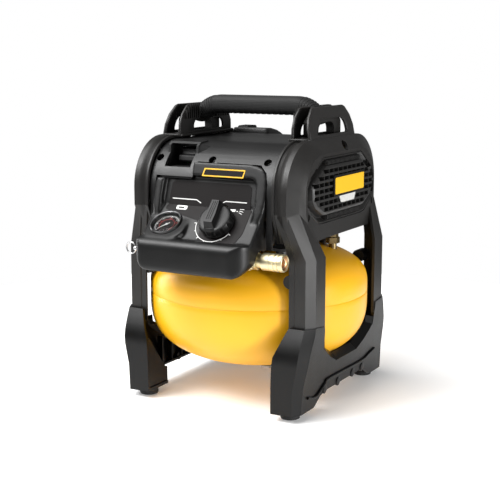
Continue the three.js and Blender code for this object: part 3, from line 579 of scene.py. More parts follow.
def side_frame():
    outer = arch_loft([
        (LIP_X, 0.6, 0.6), (LIP_X + 0.8, 0, 0), (96, 0, 0), (97, 2.4, 2.4), (100, 3.4, 3.4),
        (103.4, 2.0, 2.0), (106, 0.5, 0.5), (109, 0, 0), (114.7, 0, 0), (122.5, 20, 8),
        (127.5, 30, 18)], FRAME_BOTTOM)
    inner = arch_loft([(LIP_X - 5, 4, 4), (113, 4, 4), (119.5, 23, 11), (123.5, 33, 21)],
                      FRAME_BOTTOM + 4)
    frame_obj = raw_object("side_frame", outer)
    leg = loft([
        leg_ring(292, 97, 134, 122.5, 115, 100), leg_ring(268, 97, 135.2, 123.1, 117, 100),
        leg_ring(210, 110, 121, 142.5, 107.5, 80), leg_ring(104, 110, 121, 142.5, 107.5, 80),
    ])
    boolean(frame_obj, [inner])
    boolean(frame_obj, [mirror(leg, 1), leg], "UNION")
    boolean(frame_obj, [
        prism("x", OCTAGON, 110, 135),
        revolve([(0, -9), (6.9, -9), (7.2, 16), (0, 16)], (117.5, 14, 345.5), (1, 0, 0.12), 28),
        rod((112, -97, 262.5), (1, -0.4, 0), 5.6, -4, 16, 28),
        rod((112, 97, 262.5), (1, 0.4, 0), 5.6, -4, 16, 28),
    ])
    soften(frame_obj, 1.4, 3, 22)
    hole = rounded([(-47, 362.5), (47, 362.5), (45, 375), (35, 383), (-35, 383), (-45, 375)], 5)
    outer_wall = raw_object("wall", lean(prism("x", LOOP, 109.6, 114.2)))
    boolean(outer_wall, [prism("x", hole, 90, 125)])
    inner_wall = raw_object("wall", prism("x", LOOP, 85, 88.6))
    notch = rect(-18.5, 18.5, 370, 420)
    gap = rounded([(-47, 362.5), (47, 362.5), (45, 371), (38, 377), (-38, 377), (-45, 371)], 4)
    boolean(inner_wall, [prism("x", notch, 80, 95), prism("x", gap, 80, 95)])
    base = raw_object("wall", prism("z", rounded(rect(81, 114, -74, 74), 9), 355.5, 359.4))
    boolean(base, [box(70, 92, 70, 90, 350, 365)])
    for wall, width in ((outer_wall, 1.6), (inner_wall, 1.2), (base, 1.2)):
        soften(wall, width, 3, 40)
    ribs = []
    for i in range(7):
        for side in (-1, 1):
            y = side * (24 + i * 5.2)
            top = 398.8 - max(0, abs(y) - 46) * 0.8
            ribs.append(box(81.8, 85.4, y - 0.9, y + 0.9, 379, top))
    join_into(frame_obj, *ribs)
    for wall in (outer_wall, inner_wall, base):
        with editing(frame_obj) as bm:
            bm.from_mesh(wall.data)
        discard(wall)
    return frame_obj


settle_pair(side_frame(), "side_frame", "frame")


# ---- foot rails

RAIL = [(133, 8), (133.5, 30), (135, 45), (137.5, 60), (141, 81), (144, 112), (144, 124)]


def boot_ring(z, x0, x1, xs, y, ys):
    """Section of a foot rail's end at height z: flat face to x1, chamfer to (xs, ys)."""
    w = 4
    return [(x0, -y, z), (x1, -y, z), (xs, -ys, z), (xs - w - 1, -ys + 2, z), (x1 - w, -y + w, z),
            (x0, -y + w, z)]


def leg_room():
    ring = [(104, -121.3), (134.5, -121.3), (142.9, -108), (142.9, -70), (104, -70)]
    return prism("z", ring, 103.6, 130)


def foot_rail():
    outline = [
        (-129, 10), (-92, 10), (-86, 13), (-73, 21), (-54, 24.5), (54, 24.5), (73, 21), (86, 13),
        (92, 10), (129, 10), (127, 45), (121, 88), (109, 122), (83, 119), (80, 88), (55, 71),
        (33, 61), (-33, 61), (-55, 71), (-80, 88), (-83, 119), (-109, 122), (-121, 88), (-127, 45),
    ]
    slab = RAIL + [(x - 5, z) for x, z in reversed(RAIL)]
    rail = raw_object("rail", prism("x", outline, 115, 150))
    boolean(rail, [prism("y", slab, -150, 150)], "INTERSECT")
    skin = loft([
        boot_ring(10, 95, 125.3, 133, 141.5, 129), boot_ring(45, 95, 126.6, 135, 141.5, 127.2),
        boot_ring(74, 96, 132.3, 140, 141.5, 123), boot_ring(85, 97.4, 133.6, 141.4, 140.8, 121.2),
        boot_ring(95, 101.8, 134.2, 142.4, 138, 118), boot_ring(104, 105.5, 134.6, 143, 134.4, 115),
        boot_ring(113, 109.2, 135, 143.5, 130.2, 112), boot_ring(122, 113, 135.5, 144, 125.6, 109),
    ])
    sole = prism("z", [(95, -141.5), (125.3, -141.5), (133, -129), (133, -92), (95, -92)], 10, 14)
    web = prism("x", [(-138, 12), (-92, 12), (-92, 30), (-134, 84), (-138, 84)], 97, 100)
    rib = box(97, 131, -93.5, -90.5, 12, 34)
    path = [(-79.6, 98, 142.2), (-78.5, 88, 141.7), (-54, 71, 139), (-33, 61, 137.4)]
    path += [(-y, z, x) for y, z, x in reversed(path)]
    rings = []
    for y, z, x in path:
        rise = 3 if abs(y) > 77 else 9
        rings.append([(x, y, z), (x - 9, y * 0.92, z + rise), (x - 9, y * 0.92, z + rise - 4),
                      (x - 4.5, y, z - 4)])
    parts = [skin, mirror(skin, 1), sole, mirror(sole, 1), web, mirror(web, 1), rib,
             mirror(rib, 1), loft(rings)]
    boolean(rail, parts, "UNION")
    boolean(rail, [mirror(leg_room(), 1), leg_room()])
    soften(rail, 1.5, 3, 20)
    bead = [(-112, 29), (-96, 25), (-84, 25.5), (-62, 36), (-50, 40), (52, 38), (80, 42), (100, 46)]
    shells = [tube([(rail_x(z) + 0.8, y, z) for y, z in bead], 1.9, 12, 5)]
    boss = [(0, -9), (5.5, -9), (6, -8), (6, 1.2), (5, 1.6), (0, 1.6)]
    for y in (-18, 30, -60, 62):
        shells.append(revolve(boss, (133, y, 27), (1, 0, -0.1), 28))
    for y in (-64, -40, -14, 14, 40, 64):
        shells.append(box(122, 131, y - 1.2, y + 1.2, 27, 58 if abs(y) < 50 else 68))
    shells.append(box(121, 131, -88, 88, 25, 28))
    shells.append(prism("x", [(138, 12), (92, 12), (70, 27), (18, 27), (18, 56), (60, 57), (70, 60),
                              (92, 72), (108, 88), (130, 88), (138, 84)], 97, 100))
    shells.append(box(97, 132, 40, 43, 25.5, 50))
    join_into(rail, *shells)
    return rail


def rail_x(z):
    for (x0, z0), (x1, z1) in zip(RAIL, RAIL[1:]):
        if z0 <= z <= z1:
            return x0 + (x1 - x0) * (z - z0) / (z1 - z0)
    return RAIL[-1][0]


settle_pair(foot_rail(), "foot_rail", "rail")

FOOT = [(0, 0.8), (7, 0.8), (7.6, 0), (11, 0), (12.6, 0.8), (13, 2.2), (13, 4.4), (12.4, 5),
        (12.4, 6), (13, 6.6), (13, 9.7), (0, 9.7)]
for end, sy in (("front", -1), ("rear", 1)):
    for side, sx in (("right", 1), ("left", -1)):
        pad = raw_object(f"foot_{end}_{side}",
                         revolve(FOOT, (111 * sx, 116 * sy, 0), (0, 0, 1), 40))
        settle(pad, "foot", f"foot_pad_{end}_{side}")


# ---- tank

def tank_profile(sign, shrink=0.0, steps=26):
    """Straight rim, then a dome: sign 1 is the upper pressing, -1 the lower."""
    depth = (67.5 if sign > 0 else 101.5) - shrink
    rim = 8.9
    out = []
    for i in range(steps + 1):
        t = sin(i / steps * pi / 2)
        r = (TANK_R - shrink) * max(0.0, 1 - t ** 2.76) ** (1 / 2.2)
        out.append((0.0 if i == steps else r, sign * (rim + t * (depth - rim))))
    return out


def tank_half(sign):
    outer = tank_profile(sign)
    lip = [(TANK_R - 0.9, sign * 0.35), (TANK_R - 0.25, sign * 0.6), (TANK_R, sign * 1.3)]
    inner = tank_profile(sign, TANK_WALL, 10)
    profile = list(reversed(inner)) + [(TANK_R - TANK_WALL, sign * 0.35)] + lip + outer
    return revolve(profile, (0, 0, SEAM_Z), (0, 0, 1), 144)


put("tank_top_half", tank_half(1), "tank", "tank_upper", 60)
put("tank_bottom_half", tank_half(-1), "tank", "tank_lower", 60)
seam = revolve([(TANK_R - 2.2, -0.9), (TANK_R - 0.6, -0.9), (TANK_R - 0.45, 0), (TANK_R - 0.6, 0.9),
                (TANK_R - 2.2, 0.9)], (0, 0, SEAM_Z), (0, 0, 1), 144)
put("tank_seam_weld", seam, "tank", (), 60)


# ---- handle

def handle_ring(s, half_height, half_depth, ridge=0.0, count=28):
    """Section of the bar at distance s from its middle: straight, then bent down at each end."""
    bend, straight, top = 38, 60, 398
    x = abs(s)
    side = 1 if s >= 0 else -1
    angle = 0 if x <= straight else (x - straight) / bend
    cx = x if x <= straight else straight + bend * sin(angle)
    cz = top if x <= straight else top - bend * (1 - cos(angle))
    ring = []
    for i in range(count):
        t = i / count * 2 * pi
        c, d = cos(t), sin(t)  # the power below squares the circle off
        a = copysign(abs(c) ** 0.72, c) * half_depth
        b = copysign(abs(d) ** 0.72, d) * half_height
        if d < -0.2:
            b += ridge * min(1, (-d - 0.2) * 2)
        ring.append((side * (cx + b * sin(angle)), a, cz + b * cos(angle)))
    return ring


def blend_table(table, s):
    """Values at s, straight between the table's rows."""
    s = abs(s)
    for (s0, *v0), (s1, *v1) in zip(table, table[1:]):
        if s <= s1:
            t = max(0, (s - s0) / (s1 - s0))
            return [a + (b - a) * t for a, b in zip(v0, v1)]
    return list(table[-1][1:])


def handle_bar(table, reach, step, ridged=False):
    rings = []
    count = int(round(2 * reach / step))
    for i in range(count + 1):
        s = -reach + i * 2 * reach / count
        h, d = blend_table(table, s)
        ridge = 0.7 * (1 - cos(s / 9 * 2 * pi)) / 2 if ridged and abs(s) < 58 else 0
        rings.append(handle_ring(s, h, d, ridge))
    return loft(rings)


# (distance along the bar, half height, half depth)
GRIP = [(0, 13, 16), (60, 13, 16), (76, 12, 16), (88, 10.8, 16), (94, 10.2, 15.6),
        (95.5, 8.9, 14.6)]
CORE = [(0, 8.5, 11), (60, 8.5, 11), (78, 7.5, 12), (96, 7, 14), (104, 7, 15)]
core = raw_object("handle_core_bar", handle_bar(CORE, 104, 3))
saddle = prism("x", rounded([
    (-45, 359.7), (-24, 359.7), (-24, 371), (-17, 377.5), (17, 377.5), (24, 371), (24, 359.7),
    (45, 359.7), (45, 379), (34, 387), (-34, 387), (-45, 379)], 4), 91, 103)
boolean(core, [mirror(saddle, 0), saddle], "UNION")
soften(core, 1.2, 3, 35)
settle(core, "frame", "handle_core")
grip = raw_object("handle_soft_grip", handle_bar(GRIP, 95.5, 1.5, True))
ribs = []
for i in range(7):
    for side in (-1, 1):
        s = 68 + i * 3.4
        h, d = blend_table(GRIP, s)
        ribs.append(loft([handle_ring(side * (s + a), h + b, d + b)
                          for a, b in ((-1, -0.3), (-0.5, 0.55), (0.5, 0.55), (1, -0.3))]))
join_into(grip, *ribs)
settle(grip, "grip", "handle_grip", 50, False)


# ---- shroud

def shroud_outline(inset, arc=16):
    r = 65 - inset
    points = [(0, 353 - inset)]
    for i in range(arc + 1):
        a = pi / 2 - i / arc * pi / 2
        points.append((-68 - r * cos(a), 288 + r * sin(a)))
    return points + [(-133 + inset, 222), (0, 222)]


def shroud_half():
    wide = SHROUD_X + 5
    shell = raw_object("shroud", prism("x", shroud_outline(0), -SHROUD_X, SHROUD_X))
    boolean(shell, [prism("x", shroud_outline(SKIN), -wide, wide),
                    box(-wide, wide, -129.9, 5, 190, 231), box(-wide, wide, -0.2, 5, 190, 400)])
    return shell


front = shroud_half()
surround = prism("x", [(-84, 353.7), (-102, 352.6), (-108, 348), (-113, 319), (-126, 314),
                       (-127, 306), (-84, 306)], -78, -31)
boolean(front, [prism("y", [(-84, 180), (84, 180), (84, 306), (80, 319), (69, 328.2), (-26, 328.6),
                            (-28, 309), (-84, 309)], -200, -100)])
gusset = loft([[(-32, -84, 352.6), (-32, -102, 351), (-32, -107.5, 346), (-32, -112.5, 322),
                (-32, -84, 322)],
               [(-14.5, -82, 349), (-14.5, -93, 345), (-14.5, -99, 340), (-14.5, -108, 326),
                (-14.5, -84, 322)]])
boolean(front, [surround, gusset], "UNION")
pocket = prism("x", [(-140, 321), (-88, 319.5), (-87, 350), (-140, 350)], -74.5, -34.5)
cuts = [pocket, box(-69.6, -41.4, -92, -70, 321.4, 345),
        rod(GAUGE, GAUGE_AXIS, 25.6, -40, 4, 40)]
SCREWS = ((-5, -116, 331.5), (77, -116, 331.5), (-86, -116, 331))
SCREW_AXIS = (0, -0.86, 0.5)
for place in SCREWS:
    cuts.append(revolve([(0, -9), (5.2, -9), (6.0, 22), (0, 22)], place, SCREW_AXIS, 28))
boolean(front, cuts)
soften(front, 1.3, 3, 28)
settle(front, "shroud", "shroud_front")
HEAD = [(0, -7.5), (1.4, -7.5), (1.6, -6.6), (3.4, -6.6), (3.8, -7.2), (3.8, -9.2), (0, -9.2)]
heads = [revolve(HEAD, place, SCREW_AXIS, 28) for place in SCREWS]
put("shroud_screws", merged(*heads), "screw", (), 40)

rear = shroud_half()
with editing(rear) as bm:
    for v in bm.verts:
        v.co.y = 2 * CENTRE_Y * MM - v.co.y
    bmesh.ops.reverse_faces(bm, faces=bm.faces)
cuts = [prism("z", rounded(rect(-88.9, -24.2, 70.7, 127.3), 6), 240, 400)]
for i in range(8):
    z = 244 + i * 7.5
    cuts.append(prism("y", rounded(rect(8, 80, z, z + 4), 1.9), 120, 145))
boolean(rear, cuts)
soften(rear, 1.1, 2, 28)
settle(rear, "shroud", "shroud_rear")


# ---- console

# side view of the console and of the space inside it, (y, z)
CONSOLE = [
    (-100, 223), (-133, 217.5), (-152, 206), (-168, 195.5), (-176, 191), (-182, 190.3),
    (-185.6, 191.6), (-187.2, 195), (-187.5, 204), (-187.5, 221), (-186.6, 226.4), (-184, 230.6),
    (-180, 233), (-175, 233.9), (-167.3, 232.4), (-131, 271.3), (-122, 304), (-118, 318),
    (-100, 318),
]
CONSOLE_IN = [
    (-90, 180), (-170, 180), (-181.5, 194.5), (-184, 201), (-184.3, 223), (-182.5, 227),
    (-165.6, 229.6), (-128.3, 270.5), (-119.2, 302.6), (-114.5, 314), (-90, 314),
]


UPPER_OUT, UPPER_UP = 0.963, 0.27  # normal of the steep upper panel


def upper_plane(z, lift):
    """y at height z, for a point this far out from the steep upper panel."""
    return -131 + (z - 271.8) * 9 / 32.2 - lift * UPPER_OUT


def panel_block(h0, h1, outline, origin, degrees):
    """Prism standing on a tilted plane; outline is (x, along) from origin."""
    n = tilt(degrees)
    t = slope(degrees)
    rings = []
    for h in (h0, h1):
        rings.append([Vector(origin) + Vector((a, 0, 0)) + t * b + n * h for a, b in outline])
    return loft(rings)


def upper_block(low, high, outline):
    """Solid from one height over the steep upper panel to another; outline is (x, z)."""
    return loft([[(x, upper_plane(z, h), z + h * UPPER_UP) for x, z in outline]
                 for h in (low, high)])


CONSOLE_LEFT, CONSOLE_RIGHT = -84, 80


def console_plan(inset):
    """Outline seen from above; the left front corner is tighter than the right one."""
    left, right, front = CONSOLE_LEFT + inset, CONSOLE_RIGHT - inset, -188 + inset
    points = []
    for centre, radius, start in ((left, 13 - inset, 180), (right, 27 - inset, 270)):
        cx = centre + radius if start == 180 else centre - radius
        for i in range(11):
            a = (start + i * 9) * DEG
            points.append((cx + radius * cos(a), front + radius + radius * sin(a)))
    return points + [(right, -40), (left, -40)]


def console():
    left, x = CONSOLE_LEFT, CONSOLE_RIGHT
    shell = raw_object("console_body", prism("x", CONSOLE, left, x))
    face = rounded(rect(left, x, 187.5, 345), 24, 10)
    lower = rounded(rect(left, x, 188.6, 470), 31, 12)
    boolean(shell, [prism("z", console_plan(0), 180, 340), prism("y", face, -200, -90),
                    prism("y", lower, -200, -70)], "INTERSECT")
    pod_outline = rounded([(-26.5, -27), (22, -27.5), (33, -17), (31, 16), (14, 27), (-16, 28),
                           (-26.5, 18)], 13, 6)
    pod = panel_block(-24, -0.6, pod_outline, GAUGE, GAUGE_TILT)
    rim = upper_block(-6, 10, rounded(rect(-84, 84, 250, 326), 26, 10))
    boolean(shell, [rim], "UNION")
    boolean(shell, [
        upper_block(0, 30, rounded([(-72, 268), (70, 268), (67, 309), (-71, 309)], 10, 6)),
        panel_block(0, 24, rounded([(-94, -30), (48, -30), (46, 29), (-94, 29)], 14, 6), KNOB,
                    KNOB_TILT),
        box(-100, -29.4, -145, -80, 306.4, 350),
    ])
    boolean(shell, [pod], "UNION")
    melt(shell, 1.5, 20, 0.45)
    left, x = left + SKIN, x - SKIN
    inside = raw_object("inside", prism("x", CONSOLE_IN, left, x))
    face = rounded(rect(left, x, 150, 345), 20, 8)
    lower = rounded(rect(left, x, 191.6, 470), 28, 12)
    boolean(inside, [prism("z", console_plan(3.6), 170, 340), prism("y", face, -200, -80),
                     prism("y", lower, -200, -60)], "INTERSECT")
    gauge_hole = rod(GAUGE, GAUGE_AXIS, 22.6, -70, 20, 64)
    groove = tube([(-18, -170.5, 233.6), (0, -171, 233.6), (60, -171, 233.6), (72, -167, 235)],
                  1.3, 10, 6)
    boolean(shell, [
        as_tool(inside),
        gauge_hole,
        box(-90, -20, -111, -60, 180, 306),
        rod(KNOB, KNOB_AXIS, 6, -20, 20, 24),
        rod(AIR_LINE, (1, 0, 0), 13.4, 60, 95, 40),
        rod(AIR_LINE, (-1, 0, 0), 10.2, 60, 95, 32),
        groove,
    ])
    return shell


settle(console(), "console", "console_shell", 42, False)


def on_upper(points, lift=0.5):
    """Flat piece on the steep upper panel; points are (x, z)."""
    return upper_block(lift, lift + 0.35, points)


def on_knob(points, lift=0.5):
    """Flat piece on the knob's panel; points are (x, along the slope) from the knob."""
    return panel_block(lift, lift + 0.35, points, KNOB, KNOB_TILT)


def arc_band(radius, width, start, stop, steps=28):
    outer, inner = [], []
    for i in range(steps + 1):
        a = (start + (stop - start) * i / steps) * DEG
        outer.append(((radius + width) * cos(a), (radius + width) * sin(a)))
        inner.append((radius * cos(a), radius * sin(a)))
    return outer + inner[::-1]


def stroke(points, width):
    """Polyline as a flat outline of constant width."""
    pts = [Vector(p) for p in points]
    left_side, right_side = [], []
    for i, p in enumerate(pts):
        d = (pts[min(i + 1, len(pts) - 1)] - pts[max(i - 1, 0)]).normalized()
        n = Vector((-d.y, d.x)) * width / 2
        left_side.append((p.x + n.x, p.y + n.y))
        right_side.append((p.x - n.x, p.y - n.y))
    return left_side + right_side[::-1]


label_upper = [(-64, 271.9), (-62.5, 299), (-58, 302.4), (54, 302.4), (58, 299), (60, 271.9)]
label_lower = rounded([(-33, 3), (-23, -12), (-22, -26), (-8, -28), (34, -28), (40, -12),
                       (40, 25.4), (-88, 25.4), (-88, 17), (-58, 9)], 3)
label = merged(on_upper(label_upper, 0.12), on_knob(label_lower, 0.12))
put("console_label", label, "label", "label_panel")

ink = [
    on_upper(stroke([(-58.6, 279.3), (-21.5, 279.3), (-14, 275.6)], 1.2)),
    on_upper(stroke([(15.7, 276.2), (22.7, 280), (54, 280)], 1.2)),
    on_knob(rounded(rect(-72, -55.5, 17.5, 24), 2.6)),
    on_knob(rounded([(4, 15.5), (8, 15.5), (10, 20), (17, 20.5), (17, 24), (2, 24)], 1)),
    on_knob(stroke([(19, 21.5), (21, 21)], 1)),
    on_knob(stroke([(23, 24.5), (29, 25)], 0.7)),
    on_knob(stroke([(23, 22), (29, 21)], 0.7)),
    on_knob(stroke([(23, 19.6), (28, 17.4)], 0.7)),
    on_knob([(a - 3.5, b) for a, b in arc_band(27.6, 0.9, 182, 332)]),
]
for i in range(7):
    a = (183 + i * 24.6) * DEG
    tick = [(r * cos(a) - 3.5, r * sin(a)) for r in (28.2, 30 if i % 2 else 31.4)]
    ink.append(on_knob(stroke(tick, 1.0)))
put("console_print", merged(*ink), "white")
sticker = rounded([(-12.6, 308.6), (48.9, 308.6), (51, 319), (-10, 319)], 0.8, 2)
inner_sticker = rounded([(-10.4, 310.3), (47.3, 310.3), (49, 317.3), (-8.2, 317.3)], 0.6, 2)
icon_dark = [on_knob(stroke([(-68.5, 20.7), (-60, 20.7)], 2.2), 0.8),
             upper_block(10.3, 10.6, inner_sticker)]
put("sticker_centre", merged(*icon_dark), "label")
put("sticker_border", upper_block(9.7, 10.3, sticker), "yellow")


# ---- gauge

def dial_point(radius, degrees):
    a = degrees * DEG
    return (radius * sin(a), radius * cos(a))


case = revolve([
    (0, -26), (6, -26), (6, -16), (20, -16), (21.6, -14), (22, -12), (22, 0.6), (21.6, 1.6),
    (20.8, 2.1), (19.9, 1.9), (19.2, 1.1), (19, 0), (19, -5), (0, -5)], GAUGE, GAUGE_AXIS, 96)
put("gauge_rim", case, "bezel", "gauge_case", 40)
put("gauge_face", rod(GAUGE, GAUGE_AXIS, 18.6, -4.7, -4, 72), "label", "gauge_dial")

INK = -3.95  # height of the print under the gauge's rim


def on_dial(points, low=INK, thick=0.12):
    return panel_block(low, low + thick, points, GAUGE, GAUGE_TILT)


white, red = [], []
for i in range(31):
    a = -135 + i * 9
    inner = 13.4 if i % 5 == 0 else 14.6
    width = 0.75 if i % 5 == 0 else 0.4
    target = red if i > 24 else white
    target.append(on_dial(stroke([dial_point(inner, a), dial_point(16.4, a)], width)))
white.append(on_dial(arc_band(16.4, 0.4, 225, 9.001)))
red.append(on_dial(arc_band(16.6, 0.9, 9, -45)))
red.append(on_dial(arc_band(10.2, 0.5, 225, -45)))
put("gauge_scale", merged(*white), "white")
put("gauge_red_scale", merged(*red), "red")


def number(text, centre, size):
    curve = bpy.data.curves.new("number", "FONT")
    curve.body = text
    curve.size = size
    curve.align_x = "CENTER"
    curve.align_y = "CENTER"
    obj = new_object("number", curve)
    mesh = evaluated_mesh(obj)
    bpy.data.objects.remove(obj)
    bm = bmesh.new()
    bm.from_mesh(mesh)
    bpy.data.meshes.remove(mesh)
    for v in bm.verts:
        across, along = centre[0] + v.co.x, centre[1] + v.co.y
        v.co = GAUGE + Vector((across, 0, 0)) + slope(GAUGE_TILT) * along + GAUGE_AXIS * -3.85
    return bm


digits = [number(str(50 * i), dial_point(12.2 if i else 12.0, -135 + 67.5 * i), 3.1)
          for i in range(5)]
put("gauge_numbers", merged(*digits), "red")

AT_ZERO = 225  # where the pointer rests, clockwise from the top of the dial
blade = [(4.6, 188), (4.6, 172), (0.7, 90), (13.4, 0.8), (13.4, -0.8), (0.7, -90)]
needle = merged(
    on_dial([dial_point(r, AT_ZERO + a) for r, a in blade], -3.3, 0.4),
    revolve([(0, -3.4), (1.7, -3.4), (1.7, -2.6), (1.2, -2.2), (0, -2.2)], GAUGE, GAUGE_AXIS, 28),
)
put("gauge_pointer", needle, "white", "gauge_needle", body="gauge_needle")
lens = revolve([(0, -0.6), (18.9, -0.6), (18.9, 0.2), (12, 0.75), (0, 1.0)], GAUGE, GAUGE_AXIS, 72)
put("gauge_window", lens, "lens", "gauge_lens", 40)


# ---- regulator knob

def regulator_knob():
    up = slope(KNOB_TILT)
    knob = raw_object("knob", revolve([(0, 2.0), (22.8, 2.0), (23.6, 2.8), (23.4, 9), (21.6, 13.6),
                                       (18, 15.6), (0, 16.2)], KNOB, KNOB_AXIS, 96))
    cuts = []
    for i in range(12):
        a = (i * 30 + 15) * DEG
        centre = KNOB + Vector((26.2 * cos(a), 0, 0)) + up * 26.2 * sin(a)
        cuts.append(revolve([(0, 4.4), (4.0, 4.4), (5.2, 20), (0, 20)], centre, KNOB_AXIS, 24))
    boolean(knob, cuts)
    shapes = (
        (5, [(-8.4, -21), (8.4, -21), (9, 0), (8.4, 23), (-8.4, 23), (-9, 0)]),
        (10, [(-8.2, -20), (8.2, -20), (8.8, 0), (8.2, 23.4), (-8.2, 23.4), (-8.8, 0)]),
        (24, [(-6.2, -13), (5.8, -13), (6.0, 2), (3.4, 21), (-7.0, 21), (-6.8, 2)]),
    )
    bar = loft([[KNOB + Vector((a, 0, 0)) + up * b + KNOB_AXIS * h for a, b in outline]
                for h, outline in shapes])
    boolean(knob, [bar], "UNION")
    boolean(knob, [rod(KNOB, KNOB_AXIS, 4.3, -2, 9.3, 24)])
    soften(knob, 1.0, 3, 28)
    grooves = []
    for x in (-3.6, -0.8, 2.0):
        outline = rect(x - 0.4, x + 0.4, -9, 19)
        grooves.append(panel_block(23.2, 27, outline, KNOB, KNOB_TILT))
    boolean(knob, grooves)
    return knob


settle(regulator_knob(), "knob", "regulator_knob", body="regulator_knob")


# ---- rocker

rocker = raw_object("rocker_paddle",
                    prism("x", [(-85.5, 324.4), (-95, 324.4), (-98, 327), (-97.6, 333),
                                (-90, 334.4), (-87, 341.6), (-85.5, 341.6)], -69, -42))
soften(rocker, 1.0, 3, 20)
settle(rocker, "switch", "rocker_switch", body="rocker")


# ---- air line

BORE = 9.3
sleeve = revolve([
    (BORE, 84), (10.6, 84), (11.3, 84.8), (11.5, 86), (11.5, 95), (11.0, 95.6), (11.0, 96.6),
    (11.5, 97.2), (11.5, 102), (10.6, 102.5), (10.6, 103.8), (11.5, 104.4), (11.5, 107.6),
    (10.6, 108.1), (10.6, 109.4), (11.5, 110), (11.5, 113.6), (11.0, 114.6), (10.4, 115),
    (9.6, 115), (BORE, 114.4)], AIR_LINE, (1, 0, 0), 64)
put("coupler_ring", sleeve, "brass", "coupler_sleeve", body="coupler_sleeve")
body = raw_object("coupler_barrel", revolve([
    (0, 77.2), (8.6, 77.2), (9, 78), (9, 111), (8.4, 112), (6.2, 112), (5.6, 111.4), (5.6, 84),
    (0, 84)], AIR_LINE, (1, 0, 0), 64))
join_into(body, revolve([(0, 66.3), (11.2, 66.3), (12, 67), (12, 76.3), (11.2, 77), (0, 77)],
                        AIR_LINE, (1, 0, 0), 6))
settle(body, "brass", "coupler_body", 30, False)
throat = revolve([(8.9, 112.05), (9.1, 112.6), (8.4, 112.9), (6.2, 111.9), (5.2, 110.6),
                  (4.9, 86), (5.5, 86), (5.5, 111.6)], AIR_LINE, (1, 0, 0), 48)
put("coupler_throat", throat, "copper", (), 40)

ring_path = []
for i in range(40):
    a = 2 * pi * i / 40
    ring_path.append((-120 + 7.6 * cos(a), AIR_LINE[1], AIR_LINE[2] + 7.6 * sin(a)))
put("relief_ring", tube(ring_path, 1.0, 12, 0, True), "steel", "safety_valve_ring", 60,
    "relief_pull")


# ---- grilles and badges

def grille():
    def ring(x, inset):
        return [(x, y * (1 - inset / 105.6), GRILLE_Z + (z - GRILLE_Z) * (1 - inset / 43))
                for y, z in OCTAGON]

    rings = ((117.6, 0.5), (126.6, 0.5), (127.4, 1.2), (127.4, 2.4), (121.6, 7), (121.6, 8.6),
             (129.6, 11.5), (131.5, 14.5))
    body = raw_object("grille", loft([ring(x, inset) for x, inset in rings]))
    slots = []
    pitch = 14.2
    for row in range(-3, 4):
        z = GRILLE_Z + row * 8.2
        reach = 86 - max(0, abs(row) - 1) * 10
        count = int(reach // pitch)
        for col in range(-count, count + 1):
            y = col * pitch
            slots.append(prism("x", rect(y - 6.3, y + 6.3, z - 2.6, z + 2.6), 112, 140))
    for sy in (-1, 1):
        for outline in ([(104, 273), (104, 290), (97.4, 290), (97.4, 276)],
                        [(103.6, 293), (103.4, 300), (98, 308.5), (93.5, 303), (97.4, 293)],
                        [(95, 312.5), (78, 323.4), (74, 318), (91, 306.6)]):
            slots.append(prism("x", [(sy * y, z) for y, z in outline], 119.4, 140))
    boolean(body, [merged(*slots)])
    soften(body, 0.6, 2, 30)
    strips = []
    for low, high in ((325.4, 331.4), (254.2, 260.6)):
        strips.append(box(120, 127.6, -52, 52, low, high))
        for i in range(26):
            y = -50 + i * 4
            strips.append(box(127, 130, y - 1.0, y + 1.0, low + 0.5, high - 0.5))
    join_into(body, *strips)
    return body


settle_pair(grille(), "side_grille", "grille")
# Thin black sheets just inside each side grille, seen only through its slots: painted shade that
# darkens the slots.
for name, x0, x1 in (("painted_shade_sheet_right", 120.2, 120.8), ("painted_shade_sheet_left", -120.8, -121.4)):
    outline = [(y * 0.985, GRILLE_Z + (z - GRILLE_Z) * 0.965) for y, z in OCTAGON]
    put(name, prism("x", outline, x0, x1), "dark", (), 40)


BADGE = (
    ("badge_rim_", rect(-37.4, 61.4, 282, 310.5), 131.6, 133.2, 0.5, "dark"),
    ("badge_face_", rect(-33.8, 57.8, 285.2, 307.3), 132.4, 133.6, 0.3, "yellow"),
    ("badge_tag_", [(-13, 272.5), (28, 272.5), (33, 282.4), (-19, 282.4)], 131.4, 132.6, 0.3, "tag"),
)
for base, outline, x0, x1, edge, look in BADGE:
    right = raw_object(base + "right", prism("x", rounded(outline, 2.4, 5), x0, x1))
    soften(right, edge, 2, 40)
    left = mirrored_object(right, base + "left_m")
    for piece, side in ((right, "right"), (left, "left")):
        old = "badge_" + side if look == "yellow" else ()
        settle(piece, look, old)


# ---- battery, small fittings

pack = new_object("battery_case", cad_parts["battery_pack"].data.copy())
boolean(pack, [prism("x", [(84, 361), (104, 356.5), (122, 348), (130, 338), (135, 338), (135, 370),
                           (84, 370)], -100, -10)])
soften(pack, 1.6, 3, 35)
settle(pack, "battery", "battery_pack", body="battery")

PLUG = (0, -150, 202)
fitting = merged(
    rod(PLUG, (1, 0, 0), 3.4, 62, 72, 24),
    revolve([(0, 66), (4.6, 66), (4.9, 66.5), (4.9, 70), (4.6, 70.5), (0, 70.5)], PLUG, (1, 0, 0), 6),
    rod(PLUG, (1, 0, 0), 2.6, 71, 74.5, 20),
)
put("drain_port_plug", fitting, "brass", (), 35)

